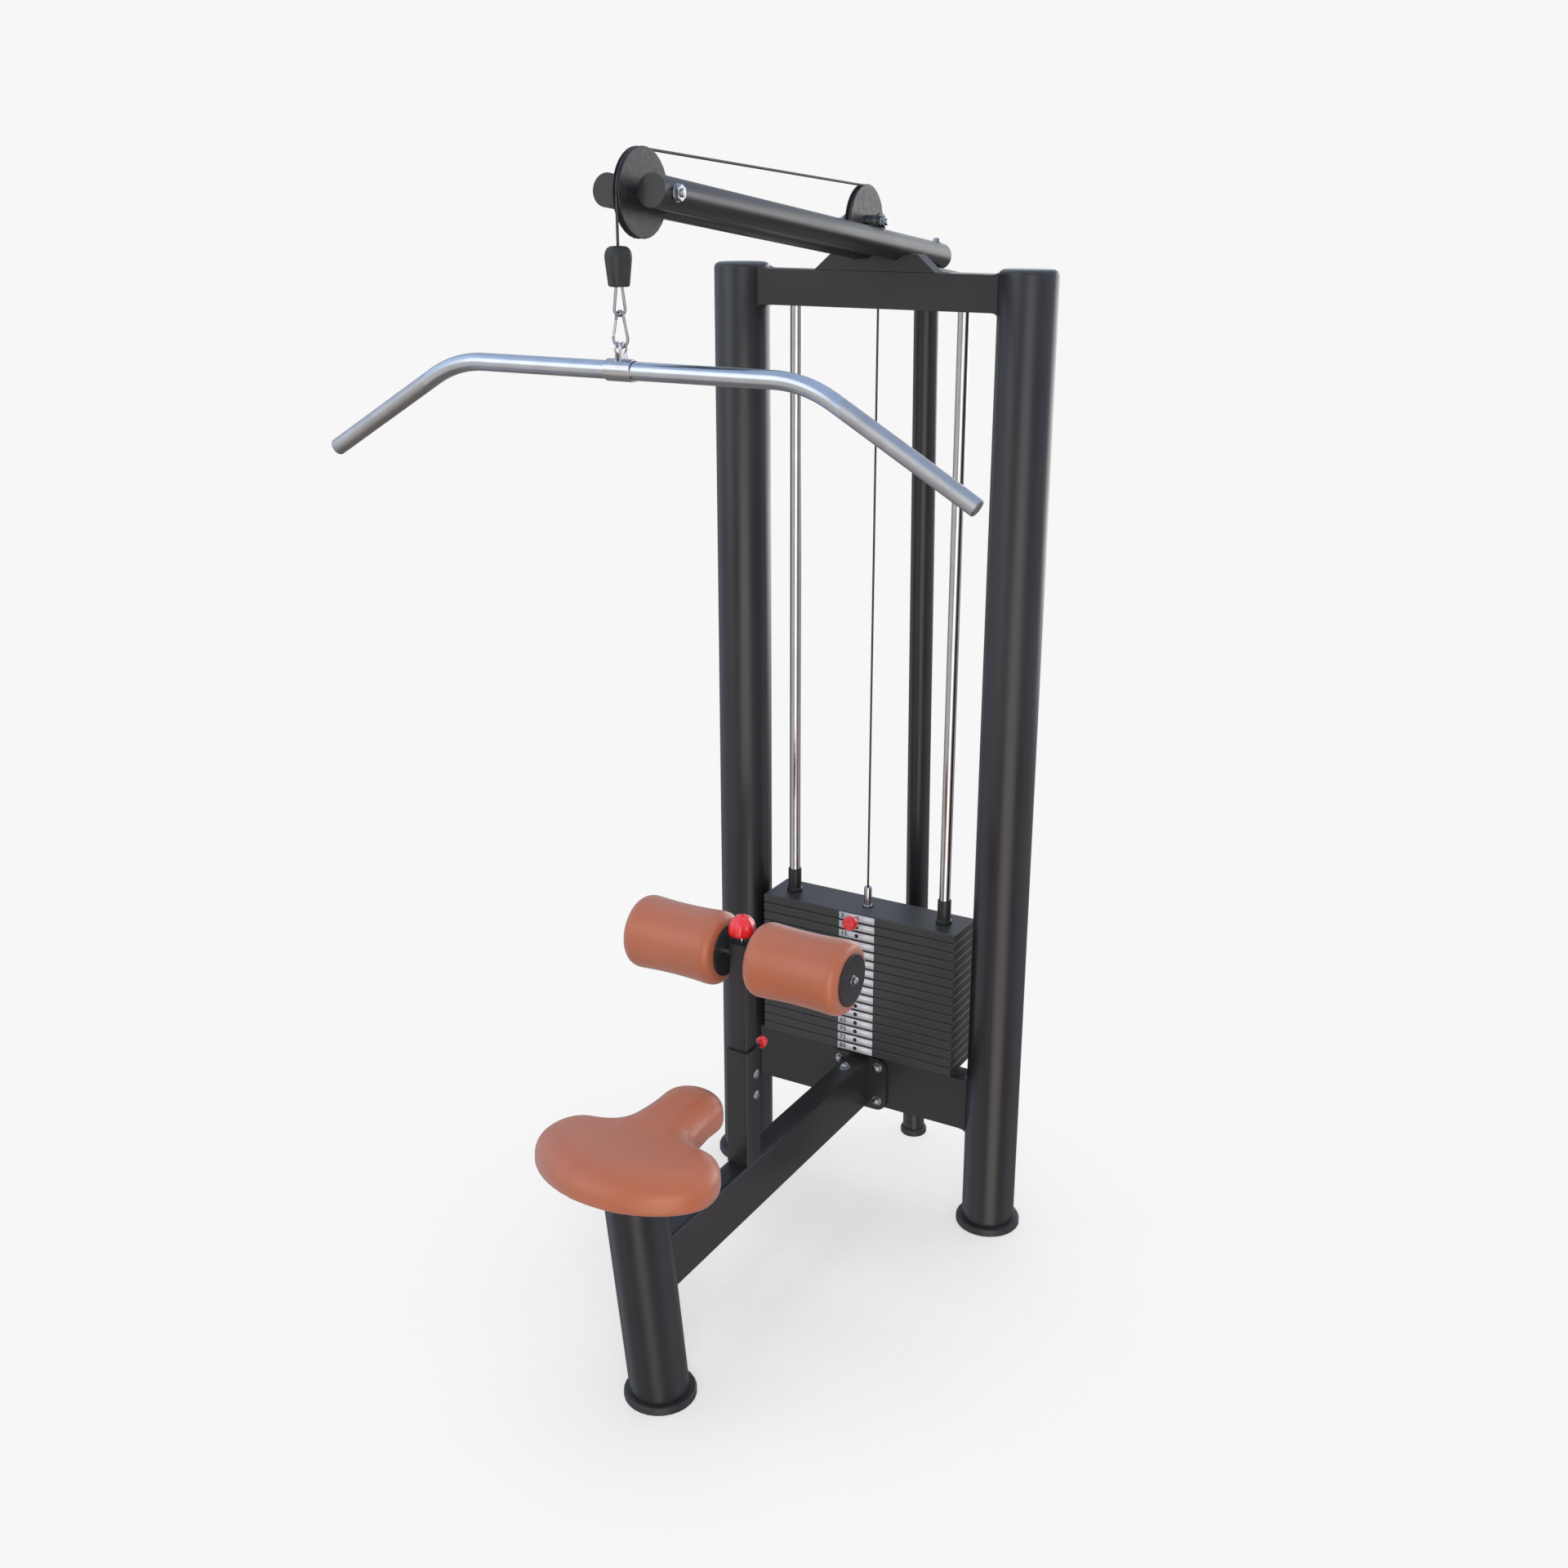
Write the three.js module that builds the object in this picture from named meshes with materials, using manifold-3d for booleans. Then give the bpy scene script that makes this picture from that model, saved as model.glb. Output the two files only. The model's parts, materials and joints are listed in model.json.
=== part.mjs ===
// Lat pulldown machine: a pin-loaded cable machine with a saddle seat, knee rollers and a pull bar.
// Millimetres, +Z up, -Y towards the user's end, +X to the user's right when they face the weight stack.
// The origin is on the floor, at the centre of the machine's footprint. x = 0 is its symmetry plane.

import * as THREE from 'three';
import { mergeVertices } from 'three/addons/utils/BufferGeometryUtils.js';
import Module from 'manifold-3d';

const wasm = await Module();
wasm.setup();

// ---------------------------------------------------------------- driving dimensions
const GAP = 0.3;                    // clearance kept between pieces that touch

const POST_HEIGHT = 2000;
const POST_R = 56;
const POST_WALL = 4;
const POST_X = 304;                 // half the spacing of the two front posts
const POST_Y = 370;                 // the plane of the front posts
const FOOT_R = 68.7;
const FOOT_H = 17;

const BEAM_DEPTH = 52;              // both crossbeams, front to back
const BEAM_WALL = 3;
const TOP_BEAM = { bottom: 1922, top: 1990, flare: 7 };
const LOW_BEAM = { bottom: 222, top: 341, flare: 9 };

const STRUT_R = 25;
const STRUT_FOOT_R = 30.5;
const STRUT_FOOT_Y = POST_Y + 260;
const STRUT_LEAN = 0.025;           // forward shift per millimetre of height

const ARM_R = 25;
const ARM_X = 40;
const ARM_SLOPE = 0.1267;           // drop per millimetre towards the rear
const ARM_FRONT_Y = POST_Y - 829;
const ARM_REAR_Y = POST_Y + 183;
const ARM_AXIS_Z = 2034;            // height of the arms' axes above the crossbeam's middle

const PULLEY_R = 66;
const PULLEY_HALF = 6.3;
const ROPE_R = 2.2;
const WRAP_R = 63;                  // radius of the cable's centre line round a pulley
const AXLE_R = 8;
const FRONT_PULLEY = { y: POST_Y - 798, z: 2135 };
const REAR_PULLEY = { y: POST_Y - 67, z: 2080 };
const EAR_IN = 31;                  // inner face of the rear pulley's ears
const EAR_T = 5;

const STACK_Y = REAR_PULLEY.y + WRAP_R;
const PLATE = { halfX: 227.5, halfY: 51, pitch: 20.55, thick: 19.9, chamfer: 2.2 };
const STACK_TOP = 684;
const STACK_LABELS = [10, 15, 20, 25, 30, 35, 40, 45, 50, 55, 60, 65, 70, 75, 80];
const ROD_X = 179;
const ROD_R = 11.5;
const ROD_CLEAR = 1;                // play of the guide rods in the plates
const SELECTOR_R = 9.5;
const PIN_R = 4;
const PIN_HOLE_R = 4.7;

const SEAT_BEAM = { halfX: 24.5, bottom: 225, top: 340, flange: 8 };
const LEG_FOOT_Y = POST_Y - 834;
const LEG_LEAN = 0.1358;            // forward shift per millimetre of height
const SEAT = { noseY: POST_Y - 656, rearY: POST_Y - 1035, bottom: 504, top: 577.5 };

const KNEE_Y = POST_Y - 524;
const SLEEVE = { half: 24.5, wall: 5.2, top: 585 };
const KNEE = { half: 19, wall: 3, bottom: 400, top: 805, axleZ: 780 };
const ROLLER = { inner: 32, outer: 233, shoulder: 71.5, waist: 68.5, disc: 49, bore: 9.6 };
const ROLLER_AXLE_R = 9;
const POP_PIN_Z = 563;
const POP_HOLE_PITCH = 25;

const BAR_Y = FRONT_PULLEY.y - WRAP_R;
const BAR = { z: 1881.5, r: 14, bore: 11, straight: 265, bend: 200, drop: 30, endX: 590 };
const COLLAR = { half: 23.5, r: 17 };
const STOPPER = { bottom: 2003, top: 2061, halfTop: 18.3, halfBottom: 14.6 };
const HANG_TURN = 60;               // how far the stopper and link hang turned about the cable
const WIRE_R = 2.5;                 // link and carabiner wire
const LINK = { pivotZ: 2009, pinR: 1.5, bottomZ: 1961.5, topR: 4.4, bottomR: 8.9 };
const HOOK = { topR: 6, bottomR: 13, bottomZ: 1915.1, gateFrom: 1931.5, gateTo: 1954 };

// ---------------------------------------------------------------- materials
const standard = (color, metalness, roughness) =>
  new THREE.MeshStandardMaterial({ color, metalness, roughness });
const PAINT = standard(0x3a3a3e, 0.3, 0.5);
const PLATE_STEEL = standard(0x35353a, 0.4, 0.55);
const CHROME = standard(0xc8ccd2, 1.0, 0.15);
const SATIN_STEEL = standard(0x9aa0a8, 1.0, 0.35);
const RUBBER = standard(0x202022, 0.0, 0.8);
const PLASTIC = standard(0x1c1c1f, 0.0, 0.5);
const RED = standard(0xc8202a, 0.0, 0.25);
const LEATHER = standard(0xb4603c, 0.0, 0.55);

// ---------------------------------------------------------------- geometry helpers
const rad = THREE.MathUtils.degToRad;

function solid(geometry) {
  const bare = geometry.clone();
  bare.deleteAttribute('normal');
  bare.deleteAttribute('uv');
  const merged = mergeVertices(bare, 1e-4);
  return new wasm.Manifold(new wasm.Mesh({
    numProp: 3,
    vertProperties: new Float32Array(merged.attributes.position.array),
    triVerts: new Uint32Array(merged.index.array),
  }));
}

function geometryOf(manifold) {
  const mesh = manifold.getMesh();
  const geometry = new THREE.BufferGeometry();
  geometry.setAttribute('position', new THREE.BufferAttribute(new Float32Array(mesh.vertProperties), 3));
  geometry.setIndex(new THREE.BufferAttribute(new Uint32Array(mesh.triVerts), 1));
  geometry.computeVertexNormals();
  return geometry;
}

// Joins and cuts: shape({ add: [...], cut: [...] }) starts from its first geometry.
function shape({ add, cut = [] }) {
  let body = solid(add[0]);
  for (const piece of add.slice(1)) {
    body = body.add(solid(piece));
  }
  for (const piece of cut) {
    body = body.subtract(solid(piece));
  }
  return geometryOf(body);
}

// A box given by its lowest and highest corners.
function block(low, high) {
  const size = high.map((value, i) => value - low[i]);
  const middle = high.map((value, i) => (value + low[i]) / 2);
  return new THREE.BoxGeometry(...size).translate(...middle);
}

// A round bar from one point to another.
function bar(from, to, radius, sides = 24) {
  const start = new THREE.Vector3(...from);
  const end = new THREE.Vector3(...to);
  const axis = end.clone().sub(start);
  const upright = new THREE.Vector3(0, 1, 0);
  const turn = new THREE.Quaternion().setFromUnitVectors(upright, axis.clone().normalize());
  return new THREE.CylinderGeometry(radius, radius, axis.length(), sides)
    .applyQuaternion(turn)
    .translate(...start.add(end).multiplyScalar(0.5).toArray());
}

// A turned piece about Z, from [radius, height] pairs.
function turned(profile, sides = 24) {
  const points = profile.map(([r, z]) => new THREE.Vector2(r, z));
  return new THREE.LatheGeometry(points, sides).rotateX(Math.PI / 2);
}

const aboutX = (geometry) => geometry.rotateY(Math.PI / 2);
const aboutY = (geometry) => geometry.rotateX(-Math.PI / 2);

// A ring profile that closes on itself, for turned pieces with a bore.
const ring = (inner, outer, bottom, top) => [
  [inner, bottom], [outer, bottom], [outer, top], [inner, top], [inner, bottom],
];

function roundedRectangle(halfWidth, halfHeight, radius) {
  const outline = new THREE.Shape();
  outline.moveTo(halfWidth - radius, -halfHeight);
  outline.absarc(halfWidth - radius, -halfHeight + radius, radius, -Math.PI / 2, 0, false);
  outline.absarc(halfWidth - radius, halfHeight - radius, radius, 0, Math.PI / 2, false);
  outline.absarc(-halfWidth + radius, halfHeight - radius, radius, Math.PI / 2, Math.PI, false);
  outline.absarc(-halfWidth + radius, -halfHeight + radius, radius, Math.PI, 1.5 * Math.PI, false);
  return outline;
}

const extrude = (outline, depth, curveSegments = 3) =>
  new THREE.ExtrudeGeometry(outline, { depth, bevelEnabled: false, curveSegments });

// A path whose extrusion steps fall exactly on the given stations.
class StationPath extends THREE.Curve {
  constructor(stations) {
    super();
    this.stations = stations;
  }

  getPoint(t, target = new THREE.Vector3()) {
    const place = t * (this.stations.length - 1);
    const i = Math.min(Math.floor(place), this.stations.length - 2);
    return target.lerpVectors(this.stations[i], this.stations[i + 1], place - i);
  }

  getPointAt(u, target) {
    return this.getPoint(u, target);
  }

  getTangentAt(u, target) {
    return this.getTangent(u, target);
  }
}

function sweep(stations, outline, curveSegments = 2) {
  return new THREE.ExtrudeGeometry(outline, {
    steps: stations.length - 1,
    extrudePath: new StationPath(stations),
    curveSegments,
  });
}

function disc(radius) {
  const outline = new THREE.Shape();
  outline.absarc(0, 0, radius, 0, 2 * Math.PI, false);
  return outline;
}

// Points on an arc in the YZ plane, from one angle to another (degrees, 0 along +Y, 90 up).
function arcYZ(centre, radius, from, to, steps) {
  return Array.from({ length: steps + 1 }, (_, i) => {
    const angle = rad(from + ((to - from) * i) / steps);
    return new THREE.Vector3(0, centre.y + radius * Math.cos(angle), centre.z + radius * Math.sin(angle));
  });
}

// A closed loop of round wire in the XZ plane: two arcs of different radius joined by straight sides.
function pearLoop(top, bottom, wire) {
  const spread = Math.abs(bottom.r - top.r) / (top.z - bottom.z);
  const loop = new THREE.TorusGeometry(bottom.r, wire, 8, 28);
  const place = loop.attributes.position;
  for (let i = 0; i < place.count; i += 1) {
    const angle = Math.atan2(place.getY(i), place.getX(i));
    const offset = Math.hypot(place.getX(i), place.getY(i)) - bottom.r;
    const end = Math.sin(angle) > spread ? top : bottom;
    const reach = end.r + offset;
    place.setXYZ(i, reach * Math.cos(angle), -place.getZ(i), end.z + reach * Math.sin(angle));
  }
  return loop;
}

// Pushes a turned piece's round section out towards a square with soft corners.
function squareOff(geometry, amount) {
  const place = geometry.attributes.position;
  for (let i = 0; i < place.count; i += 1) {
    const angle = Math.atan2(place.getY(i), place.getX(i));
    const scale = 1 + amount * Math.abs(Math.sin(2 * angle)) ** 1.5;
    place.setXY(i, place.getX(i) * scale, place.getY(i) * scale);
  }
  return geometry;
}

// ---------------------------------------------------------------- scene graph
const machine = new THREE.Group();

function addTo(group, name, geometry, material) {
  const mesh = new THREE.Mesh(geometry, material);
  mesh.name = name;
  group.add(mesh);
  return mesh;
}

const SIDES = [['left', -1], ['right', 1]];

// ---------------------------------------------------------------- frame: posts and feet
function post(x) {
  const top = POST_HEIGHT;
  const inner = POST_R - POST_WALL;
  const base = FOOT_H + GAP;
  return turned([
    [inner, base], [POST_R, base], [POST_R, top - 9], [POST_R - 3, top - 3], [POST_R - 9, top],
    [0, top], [0, top - 6], [inner, top - 12], [inner, base],
  ], 28).translate(x, POST_Y, 0);
}

const foot = (radius, height) => turned([
  [0, 0], [radius - 2, 0], [radius, 2], [radius, height - 5], [radius - 2, height - 1], [radius - 5, height],
  [0, height],
], 28);

for (const [side, sign] of SIDES) {
  addTo(machine, `${side}_post`, post(sign * POST_X), PAINT);
  const postFoot = addTo(machine, `${side}_post_foot`, foot(FOOT_R, FOOT_H), RUBBER);
  postFoot.position.set(sign * POST_X, POST_Y, 0);
}
addTo(machine, 'seat_leg_foot', foot(FOOT_R, FOOT_H), RUBBER).position.set(0, LEG_FOOT_Y, 0);
addTo(machine, 'strut_foot', foot(STRUT_FOOT_R, FOOT_H), RUBBER).position.set(0, STRUT_FOOT_Y, 0);

// ---------------------------------------------------------------- frame: crossbeams
// A rectangular tube whose edges flare where they run into the posts.
function crossbeam({ bottom, top, flare }) {
  const reach = POST_X - Math.sqrt(POST_R ** 2 - (BEAM_DEPTH / 2) ** 2);
  const run = 2 * flare;
  const outline = new THREE.Shape();
  outline.moveTo(POST_X, bottom - flare);
  outline.lineTo(POST_X, top + flare);
  outline.lineTo(reach, top + flare);
  outline.quadraticCurveTo(reach, top, reach - run, top);
  outline.lineTo(-reach + run, top);
  outline.quadraticCurveTo(-reach, top, -reach, top + flare);
  outline.lineTo(-POST_X, top + flare);
  outline.lineTo(-POST_X, bottom - flare);
  outline.lineTo(-reach, bottom - flare);
  outline.quadraticCurveTo(-reach, bottom, -reach + run, bottom);
  outline.lineTo(reach - run, bottom);
  outline.quadraticCurveTo(reach, bottom, reach, bottom - flare);
  outline.closePath();
  return extrude(outline, BEAM_DEPTH, 3).rotateX(Math.PI / 2).translate(0, POST_Y + BEAM_DEPTH / 2, 0);
}

function beamHollow({ bottom, top }) {
  const side = BEAM_DEPTH / 2 - BEAM_WALL;
  return block([-POST_X, POST_Y - side, bottom + BEAM_WALL], [POST_X, POST_Y + side, top - BEAM_WALL]);
}

const postCuts = SIDES.map(([, sign]) => bar(
  [sign * POST_X, POST_Y, 0], [sign * POST_X, POST_Y, POST_HEIGHT], POST_R + GAP, 28));

addTo(machine, 'top_crossbeam', shape({
  add: [crossbeam(TOP_BEAM)],
  cut: [
    beamHollow(TOP_BEAM), ...postCuts,
    bar([0, STACK_Y, TOP_BEAM.bottom - 1], [0, STACK_Y, TOP_BEAM.top + 1], 9, 12),
  ],
}), PAINT);
addTo(machine, 'lower_crossbeam', shape({
  add: [crossbeam(LOW_BEAM)],
  cut: [beamHollow(LOW_BEAM), ...postCuts],
}), PAINT);

// ---------------------------------------------------------------- frame: arms on their saddle
const armZ = (y) => ARM_AXIS_Z - ARM_SLOPE * (y - POST_Y);
const armBar = (sign, radius, from, to, sides) => bar(
  [sign * ARM_X, from, armZ(from)], [sign * ARM_X, to, armZ(to)], radius, sides);

function arm(sign) {
  const capLength = 6;
  const { y, z } = REAR_PULLEY;
  const ear = bar([sign * EAR_IN, y, z], [sign * (EAR_IN + EAR_T), y, z], 16, 16);
  const earLow = Math.min(EAR_IN * sign, (EAR_IN + EAR_T) * sign);
  const earFoot = block([earLow, y - 16, armZ(y) + 5], [earLow + EAR_T, y + 16, z]);
  return shape({
    add: [armBar(sign, ARM_R, ARM_FRONT_Y, ARM_REAR_Y, 24), ear, earFoot],
    cut: [
      armBar(sign, ARM_R - 3, ARM_FRONT_Y + capLength, ARM_REAR_Y + 20, 16),
      bar([-100, FRONT_PULLEY.y, FRONT_PULLEY.z], [100, FRONT_PULLEY.y, FRONT_PULLEY.z], AXLE_R + GAP, 12),
      bar([-100, y, z], [100, y, z], AXLE_R + GAP, 12),
    ],
  });
}

for (const [side, sign] of SIDES) addTo(machine, `${side}_arm`, arm(sign), PAINT);

// The saddle: a trapezoid block on the crossbeam, hollowed for the two arms and the cable.
function armSaddle() {
  const base = TOP_BEAM.top + GAP;
  const top = TOP_BEAM.top + 32;
  const outline = new THREE.Shape([
    new THREE.Vector2(-128, base), new THREE.Vector2(128, base),
    new THREE.Vector2(91, top), new THREE.Vector2(-91, top),
  ]);
  const front = POST_Y - BEAM_DEPTH / 2;
  const depth = 34;
  return shape({
    add: [extrude(outline, depth).rotateX(Math.PI / 2).translate(0, front + depth, 0)],
    cut: [
      armBar(-1, ARM_R + GAP, ARM_FRONT_Y, ARM_REAR_Y, 24),
      armBar(1, ARM_R + GAP, ARM_FRONT_Y, ARM_REAR_Y, 24),
      bar([0, STACK_Y, base - 1], [0, STACK_Y, top + 1], 9, 12),
    ],
  });
}
addTo(machine, 'arm_saddle', armSaddle(), PAINT);

// ---------------------------------------------------------------- frame: rear strut
// A leaning tube behind the stack. The plate on its head lies under the arms' rear ends.
function rearStrut() {
  const strutY = (z) => STRUT_FOOT_Y - STRUT_LEAN * z;
  const headY = POST_Y + 172;
  const plateTop = (y) => armZ(y) - ARM_R * Math.hypot(1, ARM_SLOPE) - GAP;
  const plate = new THREE.BoxGeometry(128, 126, 6)
    .rotateX(-Math.atan(ARM_SLOPE))
    .translate(0, headY, plateTop(headY) - 3 * Math.hypot(1, ARM_SLOPE));
  const headZ = plateTop(strutY(POST_HEIGHT)) - 4;
  const low = [0, strutY(0), 0];
  const high = [0, strutY(headZ), headZ];
  return shape({
    add: [bar(low, high, STRUT_R, 24), plate],
    cut: [
      bar([0, strutY(-50), -50], [0, strutY(headZ - 12), headZ - 12], STRUT_R - 3, 16),
      block([-100, STRUT_FOOT_Y - 100, -60], [100, STRUT_FOOT_Y + 100, FOOT_H + GAP]),
    ],
  });
}
addTo(machine, 'rear_strut', rearStrut(), PAINT);

// ---------------------------------------------------------------- frame: seat leg and seat beam
const legY = (z) => LEG_FOOT_Y - LEG_LEAN * z;
const legBar = (radius, from, to) => bar([0, legY(from), from], [0, legY(to), to], radius, 28);

function seatLeg() {
  const plateTop = SEAT.bottom - GAP;
  const plateLow = plateTop - 8;
  const plate = extrude(roundedRectangle(90, 85, 25), 8).translate(0, legY(plateLow) + 5, plateLow);
  const tube = solid(legBar(POST_R, -60, 560))
    .subtract(solid(legBar(POST_R - POST_WALL, -60, 560)))
    .intersect(solid(block([-80, legY(600) - 80, FOOT_H + GAP], [80, legY(0) + 80, plateLow + 2])));
  return geometryOf(tube.add(solid(plate)));
}
addTo(machine, 'seat_leg', seatLeg(), PAINT);

function seatBeam() {
  const { halfX, bottom, top, flange } = SEAT_BEAM;
  const rear = POST_Y - BEAM_DEPTH / 2 - GAP;
  const plateMiddle = (LOW_BEAM.bottom + LOW_BEAM.top) / 2 - 3;
  const plate = extrude(roundedRectangle(67, 62, 24), flange, 4)
    .rotateX(Math.PI / 2)
    .translate(0, rear, plateMiddle);
  const length = rear - legY(top) + 20;
  const section = (inset) => roundedRectangle(halfX - inset, (top - bottom) / 2 - inset, 6 - inset);
  const tube = (inset, extra) => extrude(section(inset), length + extra, 3)
    .rotateX(Math.PI / 2)
    .translate(0, rear - flange + 1 + extra / 2, (top + bottom) / 2);
  return geometryOf(
    solid(tube(0, 0))
      .subtract(solid(tube(BEAM_WALL, 40)))
      .add(solid(plate))
      .subtract(solid(legBar(POST_R + GAP, 0, 600)))
      .subtract(solid(block([-200, legY(600) - 600, 0], [200, legY(280), 600]))));
}
addTo(machine, 'seat_beam', seatBeam(), PAINT);

// ---------------------------------------------------------------- knee rollers
function kneeSleeve() {
  const { half, wall, top } = SLEEVE;
  const height = top - SEAT_BEAM.top - GAP;
  const outside = extrude(roundedRectangle(half, half, 4), height);
  const inside = extrude(roundedRectangle(half - wall, half - wall, 1.5), height + 2);
  return shape({
    add: [outside.translate(0, KNEE_Y, SEAT_BEAM.top + GAP)],
    cut: [
      inside.translate(0, KNEE_Y, SEAT_BEAM.top - 0.5),
      bar([0, KNEE_Y, POP_PIN_Z], [0, KNEE_Y + 40, POP_PIN_Z], 6, 12),
    ],
  });
}
addTo(machine, 'knee_post_sleeve', kneeSleeve(), PAINT);

// The square knee post: stop holes down its rear wall, an axle hole across its head, a screw hole in its top.
function kneePost() {
  const { half, wall, bottom, top, axleZ } = KNEE;
  const section = (inset) => roundedRectangle(half - inset, half - inset, 3 - inset / 2);
  const tube = (inset, from, to) => extrude(section(inset), to - from).translate(0, KNEE_Y, from);
  const stopHoles = [-4, -3, -2, -1, 0, 1, 2].map((step) => {
    const z = POP_PIN_Z + step * POP_HOLE_PITCH;
    return bar([0, KNEE_Y + 5, z], [0, KNEE_Y + 30, z], 4.5, 8);
  });
  return shape({
    add: [tube(0, bottom, top)],
    cut: [
      tube(wall, bottom - 5, top - 4), ...stopHoles,
      bar([-40, KNEE_Y, axleZ], [40, KNEE_Y, axleZ], ROLLER_AXLE_R + GAP, 16),
      bar([0, KNEE_Y, top - 10], [0, KNEE_Y, top + 5], 4 + GAP, 12),
    ],
  });
}
addTo(machine, 'knee_post', kneePost(), PAINT);

const axleEnd = ROLLER.outer + 3;
addTo(machine, 'roller_axle', bar([-axleEnd, 0, 0], [axleEnd, 0, 0], ROLLER_AXLE_R, 16), SATIN_STEEL)
  .position.set(0, KNEE_Y, KNEE.axleZ);

function kneeRoller(sign) {
  const { inner, outer, shoulder, waist, disc: discR, bore } = ROLLER;
  const middle = (inner + outer) / 2;
  const profile = [
    [bore, inner], [discR, inner], [shoulder - 10, inner + 3], [shoulder - 2, inner + 11],
    [shoulder, inner + 22], [waist, middle], [shoulder, outer - 22],
    [shoulder - 2, outer - 11], [shoulder - 10, outer - 3], [discR, outer], [bore, outer], [bore, inner],
  ];
  const geometry = aboutX(turned(profile, 24));
  return sign > 0 ? geometry : geometry.rotateZ(Math.PI);
}
for (const [side, sign] of SIDES) {
  addTo(machine, `${side}_knee_roller`, kneeRoller(sign), LEATHER).position.set(0, KNEE_Y, KNEE.axleZ);
}

// The lobed knob on the knee post, whose screw bears on the axle.
function clampKnob() {
  const knobBase = KNEE.top + 15;
  const knob = turned([
    [0, knobBase], [23, knobBase], [26.5, knobBase + 4], [26.5, knobBase + 12], [24, knobBase + 24],
    [17, knobBase + 34], [8, knobBase + 38.5], [0, knobBase + 39.5],
  ], 30);
  const place = knob.attributes.position;
  for (let i = 0; i < place.count; i += 1) {
    const angle = Math.atan2(place.getY(i), place.getX(i));
    const scale = 1 + 0.045 * (Math.cos(6 * angle) - 1);
    place.setXY(i, place.getX(i) * scale, place.getY(i) * scale);
  }
  const stem = bar([0, 0, KNEE.axleZ + ROLLER_AXLE_R + GAP], [0, 0, knobBase + 10], 4, 12);
  return shape({ add: [knob, stem] });
}
addTo(machine, 'clamp_knob', clampKnob(), RED).position.set(0, KNEE_Y, 0);

function popPin() {
  const knobMiddle = 69;
  const tip = SLEEVE.half - 4.6;
  return aboutY(turned([
    [0, tip], [3.5, tip], [3.5, knobMiddle - 8], [11, knobMiddle - 8], [12.5, knobMiddle - 5],
    [12.5, knobMiddle + 4], [10, knobMiddle + 8], [0, knobMiddle + 9],
  ], 16));
}
addTo(machine, 'pop_pin', popPin(), RED).position.set(0, KNEE_Y, POP_PIN_Z);

// ---------------------------------------------------------------- seat cushion
// A saddle outline: broad at the back, then a straight-sided nose between the thighs.
function seatCushion() {
  const { noseY, rearY, bottom, top } = SEAT;
  const roll = 22;
  const noseHalf = 65 - roll;
  const neckHalf = 73 - roll;
  const wingHalf = 180 - roll;
  const nose = noseY - roll;
  const neck = nose - 123;
  const shoulder = nose - 186;
  const widest = nose - 250;
  const rear = rearY + roll;
  const right = (outline) => {
    outline.bezierCurveTo(noseHalf * 0.6, nose, noseHalf, nose - 18, noseHalf, nose - 43);
    outline.lineTo(neckHalf, neck);
    outline.bezierCurveTo(neckHalf + 3, neck - 35, wingHalf * 0.55, shoulder + 9, wingHalf * 0.76, shoulder);
    outline.bezierCurveTo(wingHalf * 0.91, shoulder - 7, wingHalf, widest + 27, wingHalf, widest);
    outline.bezierCurveTo(wingHalf, rear + 38, wingHalf * 0.55, rear, 0, rear);
  };
  const half = new THREE.Shape();
  half.moveTo(0, nose);
  right(half);
  const edge = half.getPoints(5);
  const mirrored = edge.slice(1, -1).reverse().map((point) => new THREE.Vector2(-point.x, point.y));
  return new THREE.ExtrudeGeometry(new THREE.Shape([...edge, ...mirrored]), {
    depth: top - bottom - 2 * roll, bevelThickness: roll, bevelSize: roll, bevelSegments: 3,
  }).translate(0, 0, bottom + roll);
}
addTo(machine, 'seat_cushion', seatCushion(), LEATHER);

// ---------------------------------------------------------------- weight stack
// One chamfered plate, its top face at z = 0: guide-rod holes, a centre hole and a pin hole from the front.
function plateGeometry() {
  const { halfX, halfY, thick, chamfer } = PLATE;
  const outline = new THREE.Shape([
    new THREE.Vector2(-halfX, -halfY), new THREE.Vector2(halfX, -halfY),
    new THREE.Vector2(halfX, halfY), new THREE.Vector2(-halfX, halfY),
  ]);
  const rodHole = ROD_R + ROD_CLEAR;
  for (const [x, radius] of [[-ROD_X, rodHole], [0, SELECTOR_R + 1.5], [ROD_X, rodHole]]) {
    const hole = new THREE.Path();
    hole.absarc(x, 0, radius / Math.cos(Math.PI / 10), 0, 2 * Math.PI, true);
    outline.holes.push(hole);
  }
  const plate = new THREE.ExtrudeGeometry(outline, {
    depth: thick - 2 * chamfer, curveSegments: 5,
    bevelThickness: chamfer, bevelSize: chamfer, bevelOffset: -chamfer, bevelSegments: 1,
  });
  return shape({
    add: [plate.translate(0, 0, chamfer - thick)],
    cut: [bar([0, -halfY - 1, -thick / 2], [0, 18, -thick / 2], PIN_HOLE_R, 8)],
  });
}

const plateNames = ['top_plate', ...STACK_LABELS.map((label) => `weight_plate_${label}`)];
plateNames.forEach((name, i) => {
  addTo(machine, name, plateGeometry(), PLATE_STEEL).position.set(0, STACK_Y, STACK_TOP - i * PLATE.pitch);
});

const stackBottom = STACK_TOP - (plateNames.length - 1) * PLATE.pitch - PLATE.thick;

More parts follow.
